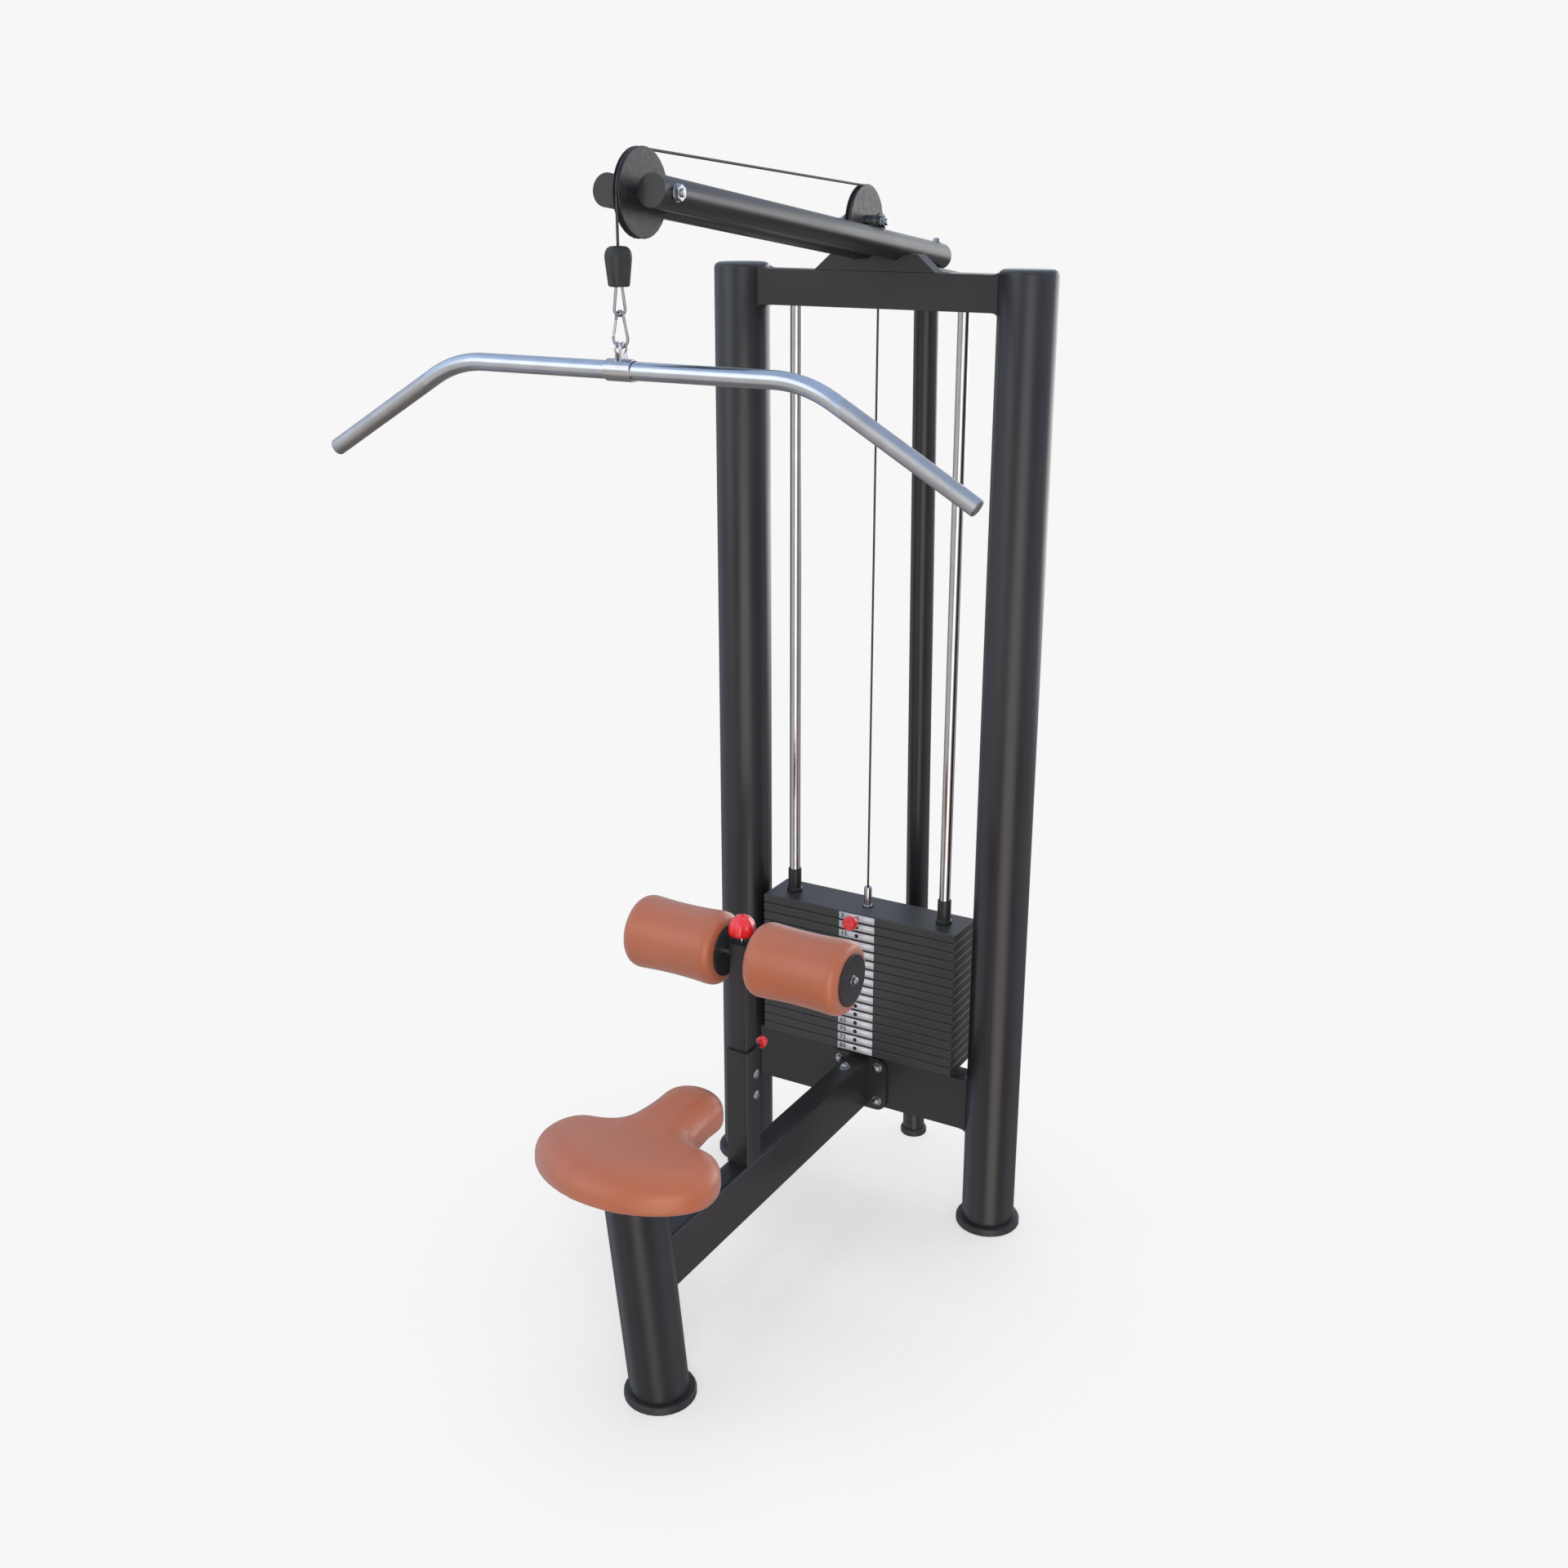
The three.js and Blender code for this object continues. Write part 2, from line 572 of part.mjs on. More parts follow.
for (const [side, sign] of SIDES) {
  const rod = bar([0, 0, LOW_BEAM.top + GAP], [0, 0, TOP_BEAM.bottom - GAP], ROD_R, 20);
  addTo(machine, `${side}_guide_rod`, rod, CHROME).position.set(sign * ROD_X, STACK_Y, 0);
  const bumper = turned(ring(ROD_R + 0.5, 25, LOW_BEAM.top + GAP, stackBottom - GAP), 20);
  addTo(machine, `${side}_stack_bumper`, bumper, RUBBER).position.set(sign * ROD_X, STACK_Y, 0);
  const sleeve = turned([
    [ROD_R + 0.6, 0], [17, 0], [17, 6], [14.3, 8], [14.3, 51], [ROD_R + 0.6, 51], [ROD_R + 0.6, 0],
  ], 20);
  addTo(machine, `${side}_guide_sleeve`, sleeve, PLASTIC)
    .position.set(sign * ROD_X, STACK_Y, STACK_TOP + GAP);
}

// The selector rod hangs through the stack, with a cross hole at every plate.
function selectorRod() {
  const crossHoles = plateNames.map((_, i) => {
    const z = STACK_TOP - i * PLATE.pitch - PLATE.thick / 2;
    return bar([0, -20, z], [0, 20, z], PIN_HOLE_R, 8);
  });
  return shape({ add: [bar([0, 0, stackBottom + 2], [0, 0, STACK_TOP], SELECTOR_R, 14)], cut: crossHoles });
}
addTo(machine, 'selector_rod', selectorRod(), SATIN_STEEL).position.set(0, STACK_Y, 0);

const FITTING_H = 44;
addTo(machine, 'cable_end_fitting', turned([
  [0, 0], [10, 0], [10, 2.5], [8.3, 3.3], [8.3, FITTING_H - 1], [7.3, FITTING_H], [0, FITTING_H],
], 20), CHROME).position.set(0, STACK_Y, STACK_TOP + GAP);

// The selector pin: its knob stands off the plates' front face.
function selectorPin() {
  const knob = PLATE.halfY + 12;
  return aboutY(turned([
    [0, -16], [PIN_R - 1.5, -16], [PIN_R, -14], [PIN_R, knob], [10, knob], [13, knob + 5], [16, knob + 14],
    [16, knob + 23], [12, knob + 29], [0, knob + 30],
  ], 20)).rotateZ(Math.PI);
}
addTo(machine, 'selector_pin', selectorPin(), RED).position.set(0, STACK_Y, STACK_TOP - PLATE.thick / 2);

// ---------------------------------------------------------------- pulleys and axles
function pulley() {
  const bottom = 60;
  return aboutX(turned([
    [AXLE_R + GAP, -PULLEY_HALF], [PULLEY_R - 1, -PULLEY_HALF], [PULLEY_R, -PULLEY_HALF + 1],
    [PULLEY_R, -4.6], [bottom, -2.2], [bottom, 2.2], [PULLEY_R, 4.6],
    [PULLEY_R, PULLEY_HALF - 1], [PULLEY_R - 1, PULLEY_HALF], [AXLE_R + GAP, PULLEY_HALF],
    [AXLE_R + GAP, -PULLEY_HALF],
  ], 32));
}

// An axle bolt with its hexagonal head, washer and nut; a spacer sleeve holds the pulley central.
function axleBolt(spacerEnd, seat, nutR) {
  const shaft = aboutX(turned([
    [0, -seat - 14], [AXLE_R - 1, -seat - 14], [AXLE_R, -seat - 13], [AXLE_R, -spacerEnd],
    [12, -spacerEnd], [12, -PULLEY_HALF - 0.4], [AXLE_R, -PULLEY_HALF - 0.4],
    [AXLE_R, PULLEY_HALF + 0.4], [12, PULLEY_HALF + 0.4], [12, spacerEnd],
    [AXLE_R, spacerEnd], [AXLE_R, seat + 2], [0, seat + 2],
  ], 16));
  const onAxis = (radius, from, to, sides) => bar([from, 0, 0], [to, 0, 0], radius, sides);
  return shape({
    add: [
      shaft,
      onAxis(nutR + 1, seat + GAP, seat + 2, 16), onAxis(nutR, seat + 1.5, seat + 9, 6),
      onAxis(nutR + 1, -seat - 2, -seat - GAP, 16), onAxis(nutR, -seat - 9, -seat - 1.5, 6),
    ],
  });
}

addTo(machine, 'front_pulley', pulley(), PLASTIC).position.set(0, FRONT_PULLEY.y, FRONT_PULLEY.z);
addTo(machine, 'rear_pulley', pulley(), PLASTIC).position.set(0, REAR_PULLEY.y, REAR_PULLEY.z);
addTo(machine, 'front_axle_bolt', axleBolt(ARM_X - ARM_R - GAP, ARM_X + ARM_R, 12.5), SATIN_STEEL)
  .position.set(0, FRONT_PULLEY.y, FRONT_PULLEY.z);
addTo(machine, 'rear_axle_bolt', axleBolt(EAR_IN - GAP, EAR_IN + EAR_T, 10.5), SATIN_STEEL)
  .position.set(0, REAR_PULLEY.y, REAR_PULLEY.z);

// ---------------------------------------------------------------- cable
// Three runs, end to end: down to the stack, over both pulleys, and down to the bar.
const topRunAngle = THREE.MathUtils.radToDeg(
  Math.atan2(FRONT_PULLEY.z - REAR_PULLEY.z, REAR_PULLEY.y - FRONT_PULLEY.y));
const overPulleys = [
  ...arcYZ(REAR_PULLEY, WRAP_R, 0, 90 - topRunAngle, 8),
  ...arcYZ(FRONT_PULLEY, WRAP_R, 90 - topRunAngle, 180, 9),
];
const fittingTop = STACK_TOP + GAP + FITTING_H;
addTo(machine, 'cable_top_run', sweep(overPulleys, disc(ROPE_R), 4), SATIN_STEEL);
const uprightRun = (y, from, to) => bar([0, y, from + GAP], [0, y, to - GAP], ROPE_R, 8);
addTo(machine, 'cable_stack_run', uprightRun(STACK_Y, fittingTop, REAR_PULLEY.z), SATIN_STEEL);
addTo(machine, 'cable_bar_run', uprightRun(BAR_Y, STOPPER.top, FRONT_PULLEY.z), SATIN_STEEL);

// ---------------------------------------------------------------- what hangs on the cable
const hanging = new THREE.Group();
hanging.position.set(0, BAR_Y, 0);
machine.add(hanging);

// The rubber stopper: a soft-cornered square, wider at the top, with a pin across its pocket for the link.
function stopper() {
  const { bottom, top, halfTop, halfBottom } = STOPPER;
  const body = squareOff(turned([
    [0, bottom], [halfBottom - 1.5, bottom], [halfBottom, bottom + 2], [halfTop, top - 16],
    [halfTop - 1.3, top - 9], [halfTop - 4.5, top - 3.5], [halfTop - 9, top], [0, top],
  ], 24), 0.2);
  const pocket = block([-10.4, -4, bottom - 1], [10.4, 4, LINK.pivotZ + 10]);
  const pin = bar([0, -6, LINK.pivotZ], [0, 6, LINK.pivotZ], LINK.pinR, 12);
  return shape({ add: [shape({ add: [body], cut: [pocket] }), pin] });
}

const linkTop = { r: LINK.topR, z: LINK.pivotZ };
const linkBottom = { r: LINK.bottomR, z: LINK.bottomZ + LINK.bottomR };
addTo(hanging, 'cable_stopper', stopper(), RUBBER).rotation.z = rad(HANG_TURN);
addTo(hanging, 'cable_link', pearLoop(linkTop, linkBottom, WIRE_R), CHROME).rotation.z = rad(HANG_TURN);

// The snap hook, with a straight gate let into its left side.
const hookTop = { r: HOOK.topR, z: LINK.bottomZ };
const hookBottom = { r: HOOK.bottomR, z: HOOK.bottomZ + HOOK.bottomR };

// The X of the hook's straight left side at a height.
function hookSide(z) {
  const lean = Math.asin((hookBottom.r - hookTop.r) / (hookTop.z - hookBottom.z));
  const tangentX = -hookBottom.r * Math.cos(lean);
  const tangentZ = hookBottom.z + hookBottom.r * Math.sin(lean);
  return tangentX + Math.tan(lean) * (z - tangentZ);
}

function carabiner() {
  const room = block([-25, -8, HOOK.gateFrom], [-2, 8, HOOK.gateTo]);
  return shape({ add: [pearLoop(hookTop, hookBottom, WIRE_R)], cut: [room] });
}
addTo(hanging, 'carabiner', carabiner(), CHROME);

const gateLow = HOOK.gateFrom + 1.3;
const gateHigh = HOOK.gateTo - 0.8;
const gate = bar([hookSide(gateLow), 0, gateLow], [hookSide(gateHigh), 0, gateHigh], 2.1, 10);
addTo(hanging, 'carabiner_gate', gate, CHROME);

// The revolving collar: a sleeve round the bar, with two ears for the snap hook.
function barCollar() {
  const holeZ = HOOK.bottomZ - 1.6;
  const ears = SIDES.flatMap(([, sign]) => {
    const from = sign * 2.8;
    const to = sign * 5.7;
    return [
      bar([from, 0, holeZ], [to, 0, holeZ], 10.5, 20),
      block([Math.min(from, to), -9, BAR.z + COLLAR.r - 3], [Math.max(from, to), 9, holeZ]),
    ];
  });
  return shape({
    add: [bar([-COLLAR.half, 0, BAR.z], [COLLAR.half, 0, BAR.z], COLLAR.r, 24), ...ears],
    cut: [
      bar([-30, 0, BAR.z], [30, 0, BAR.z], BAR.r + 0.5, 24),
      bar([-10, 0, holeZ], [10, 0, holeZ], 7, 20),
    ],
  });
}
addTo(hanging, 'bar_collar', barCollar(), CHROME);

// The lat bar: a tube, straight in the middle, bent down to a grip at each end.
function latBar() {
  const { z, r, bore, straight, bend, drop, endX } = BAR;
  const steps = 6;
  const half = Array.from({ length: steps + 1 }, (_, i) => {
    const angle = rad((drop * i) / steps);
    return new THREE.Vector3(straight + bend * Math.sin(angle), 0, z - bend * (1 - Math.cos(angle)));
  });
  const bendEnd = half[steps];
  half.push(new THREE.Vector3(endX, 0, bendEnd.z - (endX - bendEnd.x) * Math.tan(rad(drop))));
  const mirrored = half.map((point) => new THREE.Vector3(-point.x, 0, point.z)).reverse();
  const section = disc(r);
  section.holes.push(new THREE.Path().absarc(0, 0, bore, 0, 2 * Math.PI, true));
  return sweep([...mirrored, ...half], section, 7);
}
addTo(hanging, 'lat_bar', latBar(), CHROME);

export default machine;
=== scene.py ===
"""Lat pulldown machine: the looks of everything around the CAD frame.

The materials come first, then the soft pieces, the small fittings, the cable, the plate labels, the floor
and the light. Metres, +Z up, -Y towards the user's end. CAD nodes stay where they are, and every piece made
here rides on a body, except the two upright cable runs, which ride on none.
"""

import json
import math

import bpy
from mathutils import Matrix, Vector


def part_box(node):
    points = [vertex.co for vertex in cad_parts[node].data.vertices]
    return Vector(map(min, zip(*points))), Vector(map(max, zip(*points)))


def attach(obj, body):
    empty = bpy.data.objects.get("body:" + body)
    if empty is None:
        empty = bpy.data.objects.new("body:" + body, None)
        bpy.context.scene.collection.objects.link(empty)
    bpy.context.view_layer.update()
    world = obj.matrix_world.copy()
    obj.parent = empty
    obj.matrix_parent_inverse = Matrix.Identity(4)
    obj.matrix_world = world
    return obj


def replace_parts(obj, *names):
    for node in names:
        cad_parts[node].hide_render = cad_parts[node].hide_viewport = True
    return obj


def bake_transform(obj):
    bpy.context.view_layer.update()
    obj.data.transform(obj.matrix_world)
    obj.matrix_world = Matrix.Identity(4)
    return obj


MM = 0.001

# ------------------------------------------------------------------ camera, from the photograph's view
CAMERA_PLACE = (1.5409, -2.6964, 2.1531)
CAMERA_YAW = 29.71
CAMERA_PITCH = -19.21
CAMERA_LENS = 39.81

# ------------------------------------------------------------------ sizes that the CAD model also has
CABLE_RADIUS = 2.2 * MM
WRAP_RADIUS = 63 * MM
HANG_TURN = math.radians(60)
LINK_RADII = (4.4 * MM, 8.9 * MM)
HOOK_RADII = (6 * MM, 13 * MM)
WIRE_RADIUS = 2.5 * MM
BAR_RADIUS = 14 * MM
BAR_STRAIGHT = 265 * MM
BAR_BEND_RADIUS = 200 * MM
BAR_DROP = math.radians(30)
BAR_END = 590 * MM
PLATE_PITCH = 20.55 * MM
PLATE_THICKNESS = 19.9 * MM
PLATE_COUNT = 16

# ------------------------------------------------------------------ bolt places, and sizes of the trim
FLANGE_NUT_X = 46 * MM
FLANGE_NUT_HEIGHTS = (240 * MM, 321 * MM)
FLANGE_PROUD = 8.5 * MM
BEAM_BOLT_Y = 269 * MM
BEAM_BOTTOM, BEAM_TOP = 225 * MM, 340 * MM
RIVET_HEIGHTS = (529 * MM, 484 * MM)
RIVET_BACK = 7 * MM
ARM_TAIL_NUT = (40 * MM, 535 * MM, 2036.5 * MM)
ARM_SLOPE = 0.1267
FLANGE_NUT, BEAM_NUT, ARM_NUT, ROLLER_BOLT = 9 * MM, 9.5 * MM, 8 * MM, 8.5 * MM
GRIP_START = 380 * MM
KNURL_PITCH = 1.6 * MM
KNURL_STARTS = 40
LABEL_HALF_WIDTH = 42 * MM
LABEL_MARGIN = 2.1 * MM
NUMBER_HEIGHT = 13.5 * MM
NUMBER_MARGIN = 5 * MM
SHARP_EDGE = math.radians(28)


def make_camera():
    """The photograph's own camera, a 36 mm wide sensor behind the lens."""
    data = bpy.data.cameras.new("camera")
    data.lens = CAMERA_LENS
    data.sensor_width = 36
    camera = bpy.data.objects.new("camera", data)
    camera.location = CAMERA_PLACE
    camera.rotation_euler = (math.radians(90 + CAMERA_PITCH), 0, math.radians(CAMERA_YAW))
    bpy.context.scene.collection.objects.link(camera)
    bpy.context.scene.camera = camera


# ------------------------------------------------------------------ materials
class Nodes:
    """A node tree with short calls to add nodes, wire them and do sums with their values."""

    def __init__(self, tree, place):
        self.tree = tree
        self.place = self.node("ShaderNodeTexCoord").outputs[place]

    def node(self, kind, inputs=None, **settings):
        made = self.tree.nodes.new(kind)
        for setting, value in settings.items():
            setattr(made, setting, value)
        for socket, value in (inputs or {}).items():
            if isinstance(value, bpy.types.NodeSocket):
                self.tree.links.new(value, made.inputs[socket])
            else:
                made.inputs[socket].default_value = value
        return made

    def math(self, operation, a, b=0.0):
        return self.node("ShaderNodeMath", {0: a, 1: b}, operation=operation).outputs[0]

    def vector(self, operation, inputs, output):
        return self.node("ShaderNodeVectorMath", inputs, operation=operation).outputs[output]

    def noise(self, scale, detail=3.0, stretch=(1, 1, 1)):
        place = self.node("ShaderNodeMapping", {"Vector": self.place, "Scale": stretch}).outputs[0]
        noise = self.node("ShaderNodeTexNoise", {"Vector": place, "Scale": scale, "Detail": detail})
        return noise.outputs["Fac"]

    def range(self, value, low, high, from_low=0.3, from_high=0.7, smooth=False):
        """The value stretched to run from low to high; the defaults suit a noise, which keeps near 0.5."""
        return self.node(
            "ShaderNodeMapRange",
            {"Value": value, "From Min": from_low, "From Max": from_high, "To Min": low, "To Max": high},
            interpolation_type="SMOOTHSTEP" if smooth else "LINEAR",
        ).outputs[0]

    def ramp(self, value, stops):
        ramp = self.node("ShaderNodeValToRGB", {"Fac": value})
        elements = ramp.color_ramp.elements
        while len(elements) < len(stops):
            elements.new(0.5)
        for element, (position, colour) in zip(elements, stops):
            element.position = position
            element.color = (*colour, 1)
        return ramp.outputs["Color"]

    def colour(self, value, dark, light):
        return self.ramp(value, [(0.3, dark), (0.7, light)])

    def blend(self, share, under, over, **settings):
        """Two colours mixed by share."""
        mix = self.node("ShaderNodeMix", {0: share, 6: under, 7: over}, data_type="RGBA", **settings)
        return mix.outputs[2]


class Finish(Nodes):
    """A material whose surface is textured by nodes, with the even values set on the shader's own sockets."""

    def __init__(self, name, **sockets):
        self.material = bpy.data.materials.new(name)
        self.material.use_nodes = True
        super().__init__(self.material.node_tree, "Object")
        self.surface = self.tree.nodes["Principled BSDF"]
        for socket, value in sockets.items():
            self.surface.inputs[socket.replace("_", " ")].default_value = value

    def wire(self, socket, value):
        self.tree.links.new(value, self.surface.inputs[socket])

    def bump(self, height, distance, strength=1.0):
        bump = self.node("ShaderNodeBump", {"Height": height, "Distance": distance, "Strength": strength})
        self.wire("Normal", bump.outputs["Normal"])


def powder_coat():
    """Satin black powder coat: a fine orange peel, and a slow drift of tone and gloss over the tubes."""
    finish = Finish("powder_coat")
    drift = finish.noise(5)
    finish.wire("Base Color", finish.colour(drift, (0.0125, 0.0125, 0.0148), (0.0165, 0.016, 0.0182)))
    finish.wire("Roughness", finish.range(drift, 0.28, 0.36))
    finish.bump(finish.noise(650, 2), 0.05 * MM, 0.3)
    return finish.material


def plate_steel():
    """Black plates with a faint rolled grain that runs along them."""
    finish = Finish("plate_steel")
    grain = finish.noise(70, 5, (1, 3, 10))
    finish.wire("Base Color", finish.colour(grain, (0.022, 0.022, 0.024), (0.03, 0.03, 0.032)))
    finish.wire("Roughness", finish.range(grain, 0.34, 0.42))
    finish.bump(grain, 0.03 * MM, 0.3)
    return finish.material


def chrome():
    """Bright plating over drawn steel, with the faint haze of polishing."""
    finish = Finish("chrome", Metallic=1.0)
    haze = finish.noise(35, 6)
    finish.wire("Base Color", finish.colour(haze, (0.5, 0.505, 0.52), (0.57, 0.575, 0.59)))
    finish.wire("Roughness", finish.range(haze, 0.13, 0.2))
    finish.bump(finish.noise(160, 2), 0.01 * MM, 0.15)
    return finish.material


def bar_chrome():
    """The pull bar's satin chrome, with crossing spirals of knurling over each grip."""
    finish = Finish("bar_chrome", Metallic=1.0)
    haze = finish.noise(30, 5)
    shine = finish.colour(haze, (0.53, 0.56, 0.61), (0.6, 0.63, 0.69))
    middle_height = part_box("lat_bar")[1].z - BAR_RADIUS
    split = finish.node("ShaderNodeSeparateXYZ", {"Vector": finish.place})
    side = finish.math("ABSOLUTE", split.outputs["X"])
    across = finish.math("SUBTRACT", split.outputs["Y"], middle("lat_bar").y)
    drop = finish.math("SUBTRACT", split.outputs["Z"], middle_height)
    # The grips slope down from the middle, so along and up are measured in a grip's own turned frame.
    cos, sin = math.cos(BAR_DROP), math.sin(BAR_DROP)
    along = finish.math("SUBTRACT", finish.math("MULTIPLY", side, cos), finish.math("MULTIPLY", drop, sin))
    up = finish.math("ADD", finish.math("MULTIPLY", side, sin), finish.math("MULTIPLY", drop, cos))
    up = finish.math("SUBTRACT", up, BAR_STRAIGHT * sin + BAR_BEND_RADIUS * (1 - cos))
    angle = finish.math("ARCTAN2", across, up)
    waves = finish.math("MULTIPLY", along, 2 * math.pi / KNURL_PITCH)
    ridges = []
    for starts in (KNURL_STARTS, -KNURL_STARTS):
        phase = finish.math("ADD", waves, finish.math("MULTIPLY", angle, starts))
        ridges.append(finish.math("SINE", phase))
    knurl = finish.math("ADD", *ridges)
    on_grip = finish.range(side, 0.0, 1.0, GRIP_START - 3 * MM, GRIP_START + 3 * MM)
    finish.bump(finish.math("MULTIPLY", knurl, on_grip), 0.1 * MM, 0.35)
    # The grips get a darker, less blue base colour than the rest of the bar.
    grip_tone = finish.colour(haze, (0.47, 0.465, 0.47), (0.55, 0.54, 0.545))
    finish.wire("Base Color", finish.blend(on_grip, shine, grip_tone))
    finish.wire("Roughness", finish.range(on_grip, 0.22, 0.34, 0, 1))
    return finish.material


def zinc_steel():
    """Plated steel wire, nuts and washers, a little cloudy."""
    finish = Finish("zinc_steel", Metallic=1.0)
    haze = finish.noise(90, 5)
    finish.wire("Base Color", finish.colour(haze, (0.3, 0.31, 0.33), (0.44, 0.45, 0.47)))
    finish.wire("Roughness", finish.range(haze, 0.22, 0.36))
    finish.bump(finish.noise(400), 0.03 * MM, 0.3)
    return finish.material


def wire_rope():
    """Dark wire rope: strands that show as slanting ridges along it."""
    finish = Finish("wire_rope", Metallic=0.7)
    slanted = finish.node("ShaderNodeMapping", {"Vector": finish.place, "Rotation": (0.6, 0.6, 0)}).outputs[0]
    strands = finish.node(
        "ShaderNodeTexWave", {"Vector": slanted, "Scale": 180.0, "Distortion": 0.4}, bands_direction="Z"
    ).outputs["Fac"]
    finish.wire("Base Color", finish.colour(strands, (0.02, 0.02, 0.022), (0.09, 0.09, 0.095)))
    finish.wire("Roughness", finish.range(strands, 0.5, 0.35, 0, 1))
    finish.bump(strands, 0.2 * MM, 0.6)
    return finish.material


def rubber():
    """Black rubber with a fine rough skin and a breath of dust."""
    finish = Finish("rubber")
    dust = finish.noise(40, 6)
    finish.wire("Base Color", finish.colour(dust, (0.012, 0.012, 0.013), (0.02, 0.02, 0.021)))
    finish.wire("Roughness", finish.range(dust, 0.42, 0.58))
    finish.bump(finish.noise(500, 4), 0.08 * MM, 0.4)
    return finish.material


def black_plastic():
    """Moulded black plastic with a fine spark-eroded texture."""
    finish = Finish("black_plastic")
    speck = finish.noise(120, 4)
    finish.wire("Base Color", finish.colour(speck, (0.01, 0.01, 0.0115), (0.016, 0.016, 0.018)))
    finish.wire("Roughness", finish.range(speck, 0.34, 0.46))
    finish.bump(finish.noise(900, 2), 0.04 * MM, 0.35)
    return finish.material


def red_plastic():
    """Glossy red moulding, slightly translucent at its thin edges."""
    finish = Finish("red_plastic", Subsurface_Weight=0.06, Coat_Weight=0.8, Coat_Roughness=0.05)
    flow = finish.noise(55, 3)
    finish.wire("Base Color", finish.colour(flow, (0.56, 0.008, 0.012), (0.66, 0.014, 0.018)))
    finish.wire("Roughness", finish.range(flow, 0.18, 0.28))
    finish.bump(finish.noise(220, 2), 0.03 * MM, 0.2)
    return finish.material


def leather():
    """Smooth upholstery leather: fine pebbled grain under a satin top coat, and small drifts of tone."""
    finish = Finish("leather", Coat_Weight=0.7, Coat_Roughness=0.42, Sheen_Weight=0.15, Sheen_Roughness=0.55)
    finish.surface.inputs["Sheen Tint"].default_value = (0.85, 0.92, 1.0, 1)
    drift = finish.noise(9, 4)
    finish.wire("Base Color", finish.colour(drift, (0.3, 0.073, 0.024), (0.345, 0.086, 0.03)))
    cells = finish.node("ShaderNodeTexVoronoi", {"Vector": finish.place, "Scale": 700.0}).outputs["Distance"]
    grain = finish.math("ADD", cells, finish.math("MULTIPLY", finish.noise(1500, 2), 0.5))
    finish.wire("Roughness", finish.range(finish.noise(14, 3), 0.38, 0.46))
    finish.bump(grain, 0.08 * MM, 0.25)
    return finish.material


def label_foil():
    """Brushed silver foil."""
    finish = Finish("label_foil", Metallic=0.25)
    brushed = finish.noise(90, 4, (0.3, 1, 8))
    finish.wire("Base Color", finish.colour(brushed, (0.46, 0.455, 0.49), (0.54, 0.535, 0.57)))
    finish.wire("Roughness", finish.range(brushed, 0.35, 0.45))
    return finish.material


def ink():
    """The labels' printed numbers, slightly worn."""
    finish = Finish("ink")
    wear = finish.noise(300, 3)
    finish.wire("Base Color", finish.colour(wear, (0.02, 0.02, 0.03), (0.05, 0.05, 0.06)))
    finish.wire("Roughness", finish.range(wear, 0.4, 0.6))
    return finish.material


def hole_black():
    """Painted shade: a near-black disc standing for the shaded inside of a pin hole."""
    finish = Finish("hole_black")
    # A faint mottle in the near-black of the painted shade.
    shade_mottle = finish.noise(200, 2)
    finish.wire("Base Color", finish.colour(shade_mottle, (0.001, 0.001, 0.001), (0.004, 0.004, 0.004)))
    finish.wire("Roughness", finish.range(shade_mottle, 0.7, 0.9))
    return finish.material


# ------------------------------------------------------------------ smooth shading and rounded edges
def smooth_by_angle():
    """A modifier group that merges the facets' shared corners and keeps only real edges sharp."""
    group = bpy.data.node_groups.new("smooth_by_angle", "GeometryNodeTree")
    group.interface.new_socket("Geometry", in_out="INPUT", socket_type="NodeSocketGeometry")
    group.interface.new_socket("Geometry", in_out="OUTPUT", socket_type="NodeSocketGeometry")
    nodes, links = group.nodes, group.links
    start = nodes.new("NodeGroupInput")
    bare = nodes.new("GeometryNodeRemoveAttribute")
    bare.inputs["Name"].default_value = "custom_normal"
    merge = nodes.new("GeometryNodeMergeByDistance")
    merge.inputs["Distance"].default_value = 0.02 * MM
    faces = nodes.new("GeometryNodeSetShadeSmooth")
    angle = nodes.new("GeometryNodeInputMeshEdgeAngle")
    sharp = nodes.new("FunctionNodeCompare")
    sharp.operation = "LESS_THAN"
    sharp.inputs["B"].default_value = SHARP_EDGE
    edges = nodes.new("GeometryNodeSetShadeSmooth")
    edges.domain = "EDGE"
    end = nodes.new("NodeGroupOutput")
    links.new(start.outputs[0], bare.inputs["Geometry"])
    links.new(bare.outputs[0], merge.inputs["Geometry"])
    links.new(merge.outputs[0], faces.inputs["Geometry"])
    links.new(faces.outputs[0], edges.inputs["Geometry"])
    links.new(angle.outputs["Unsigned Angle"], sharp.inputs["A"])
    links.new(sharp.outputs["Result"], edges.inputs["Shade Smooth"])
    links.new(edges.outputs[0], end.inputs[0])
    return group


def round_edges(obj, width, segments=2):
    """Smooth shading, and a small radius on every real edge."""
    smooth = obj.modifiers.new("smooth", "NODES")
    smooth.node_group = SMOOTH
    if width:
        bevel = obj.modifiers.new("rounded edges", "BEVEL")
        bevel.width = width
        bevel.segments = segments
        bevel.limit_method = "ANGLE"
        bevel.angle_limit = SHARP_EDGE
        bevel.harden_normals = True


# ------------------------------------------------------------------ building pieces
def piece(name, verts, faces, material, body, slot=None, edge=0.0):
    """A mesh that rides on a body, with its material and rounded edges.

    With no body, it rides on none. An edge of None leaves out the edge modifiers.
    """
    mesh = bpy.data.meshes.new(name)
    mesh.from_pydata([tuple(v) for v in verts], [], faces)
    mesh.polygons.foreach_set("use_smooth", [True] * len(mesh.polygons))
    mesh.materials.append(material)
    mesh.update()
    obj = bpy.data.objects.new(name, mesh)
    bpy.context.scene.collection.objects.link(obj)
    if body:
        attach(obj, body)
    if edge is not None:
        round_edges(obj, edge)
    return obj


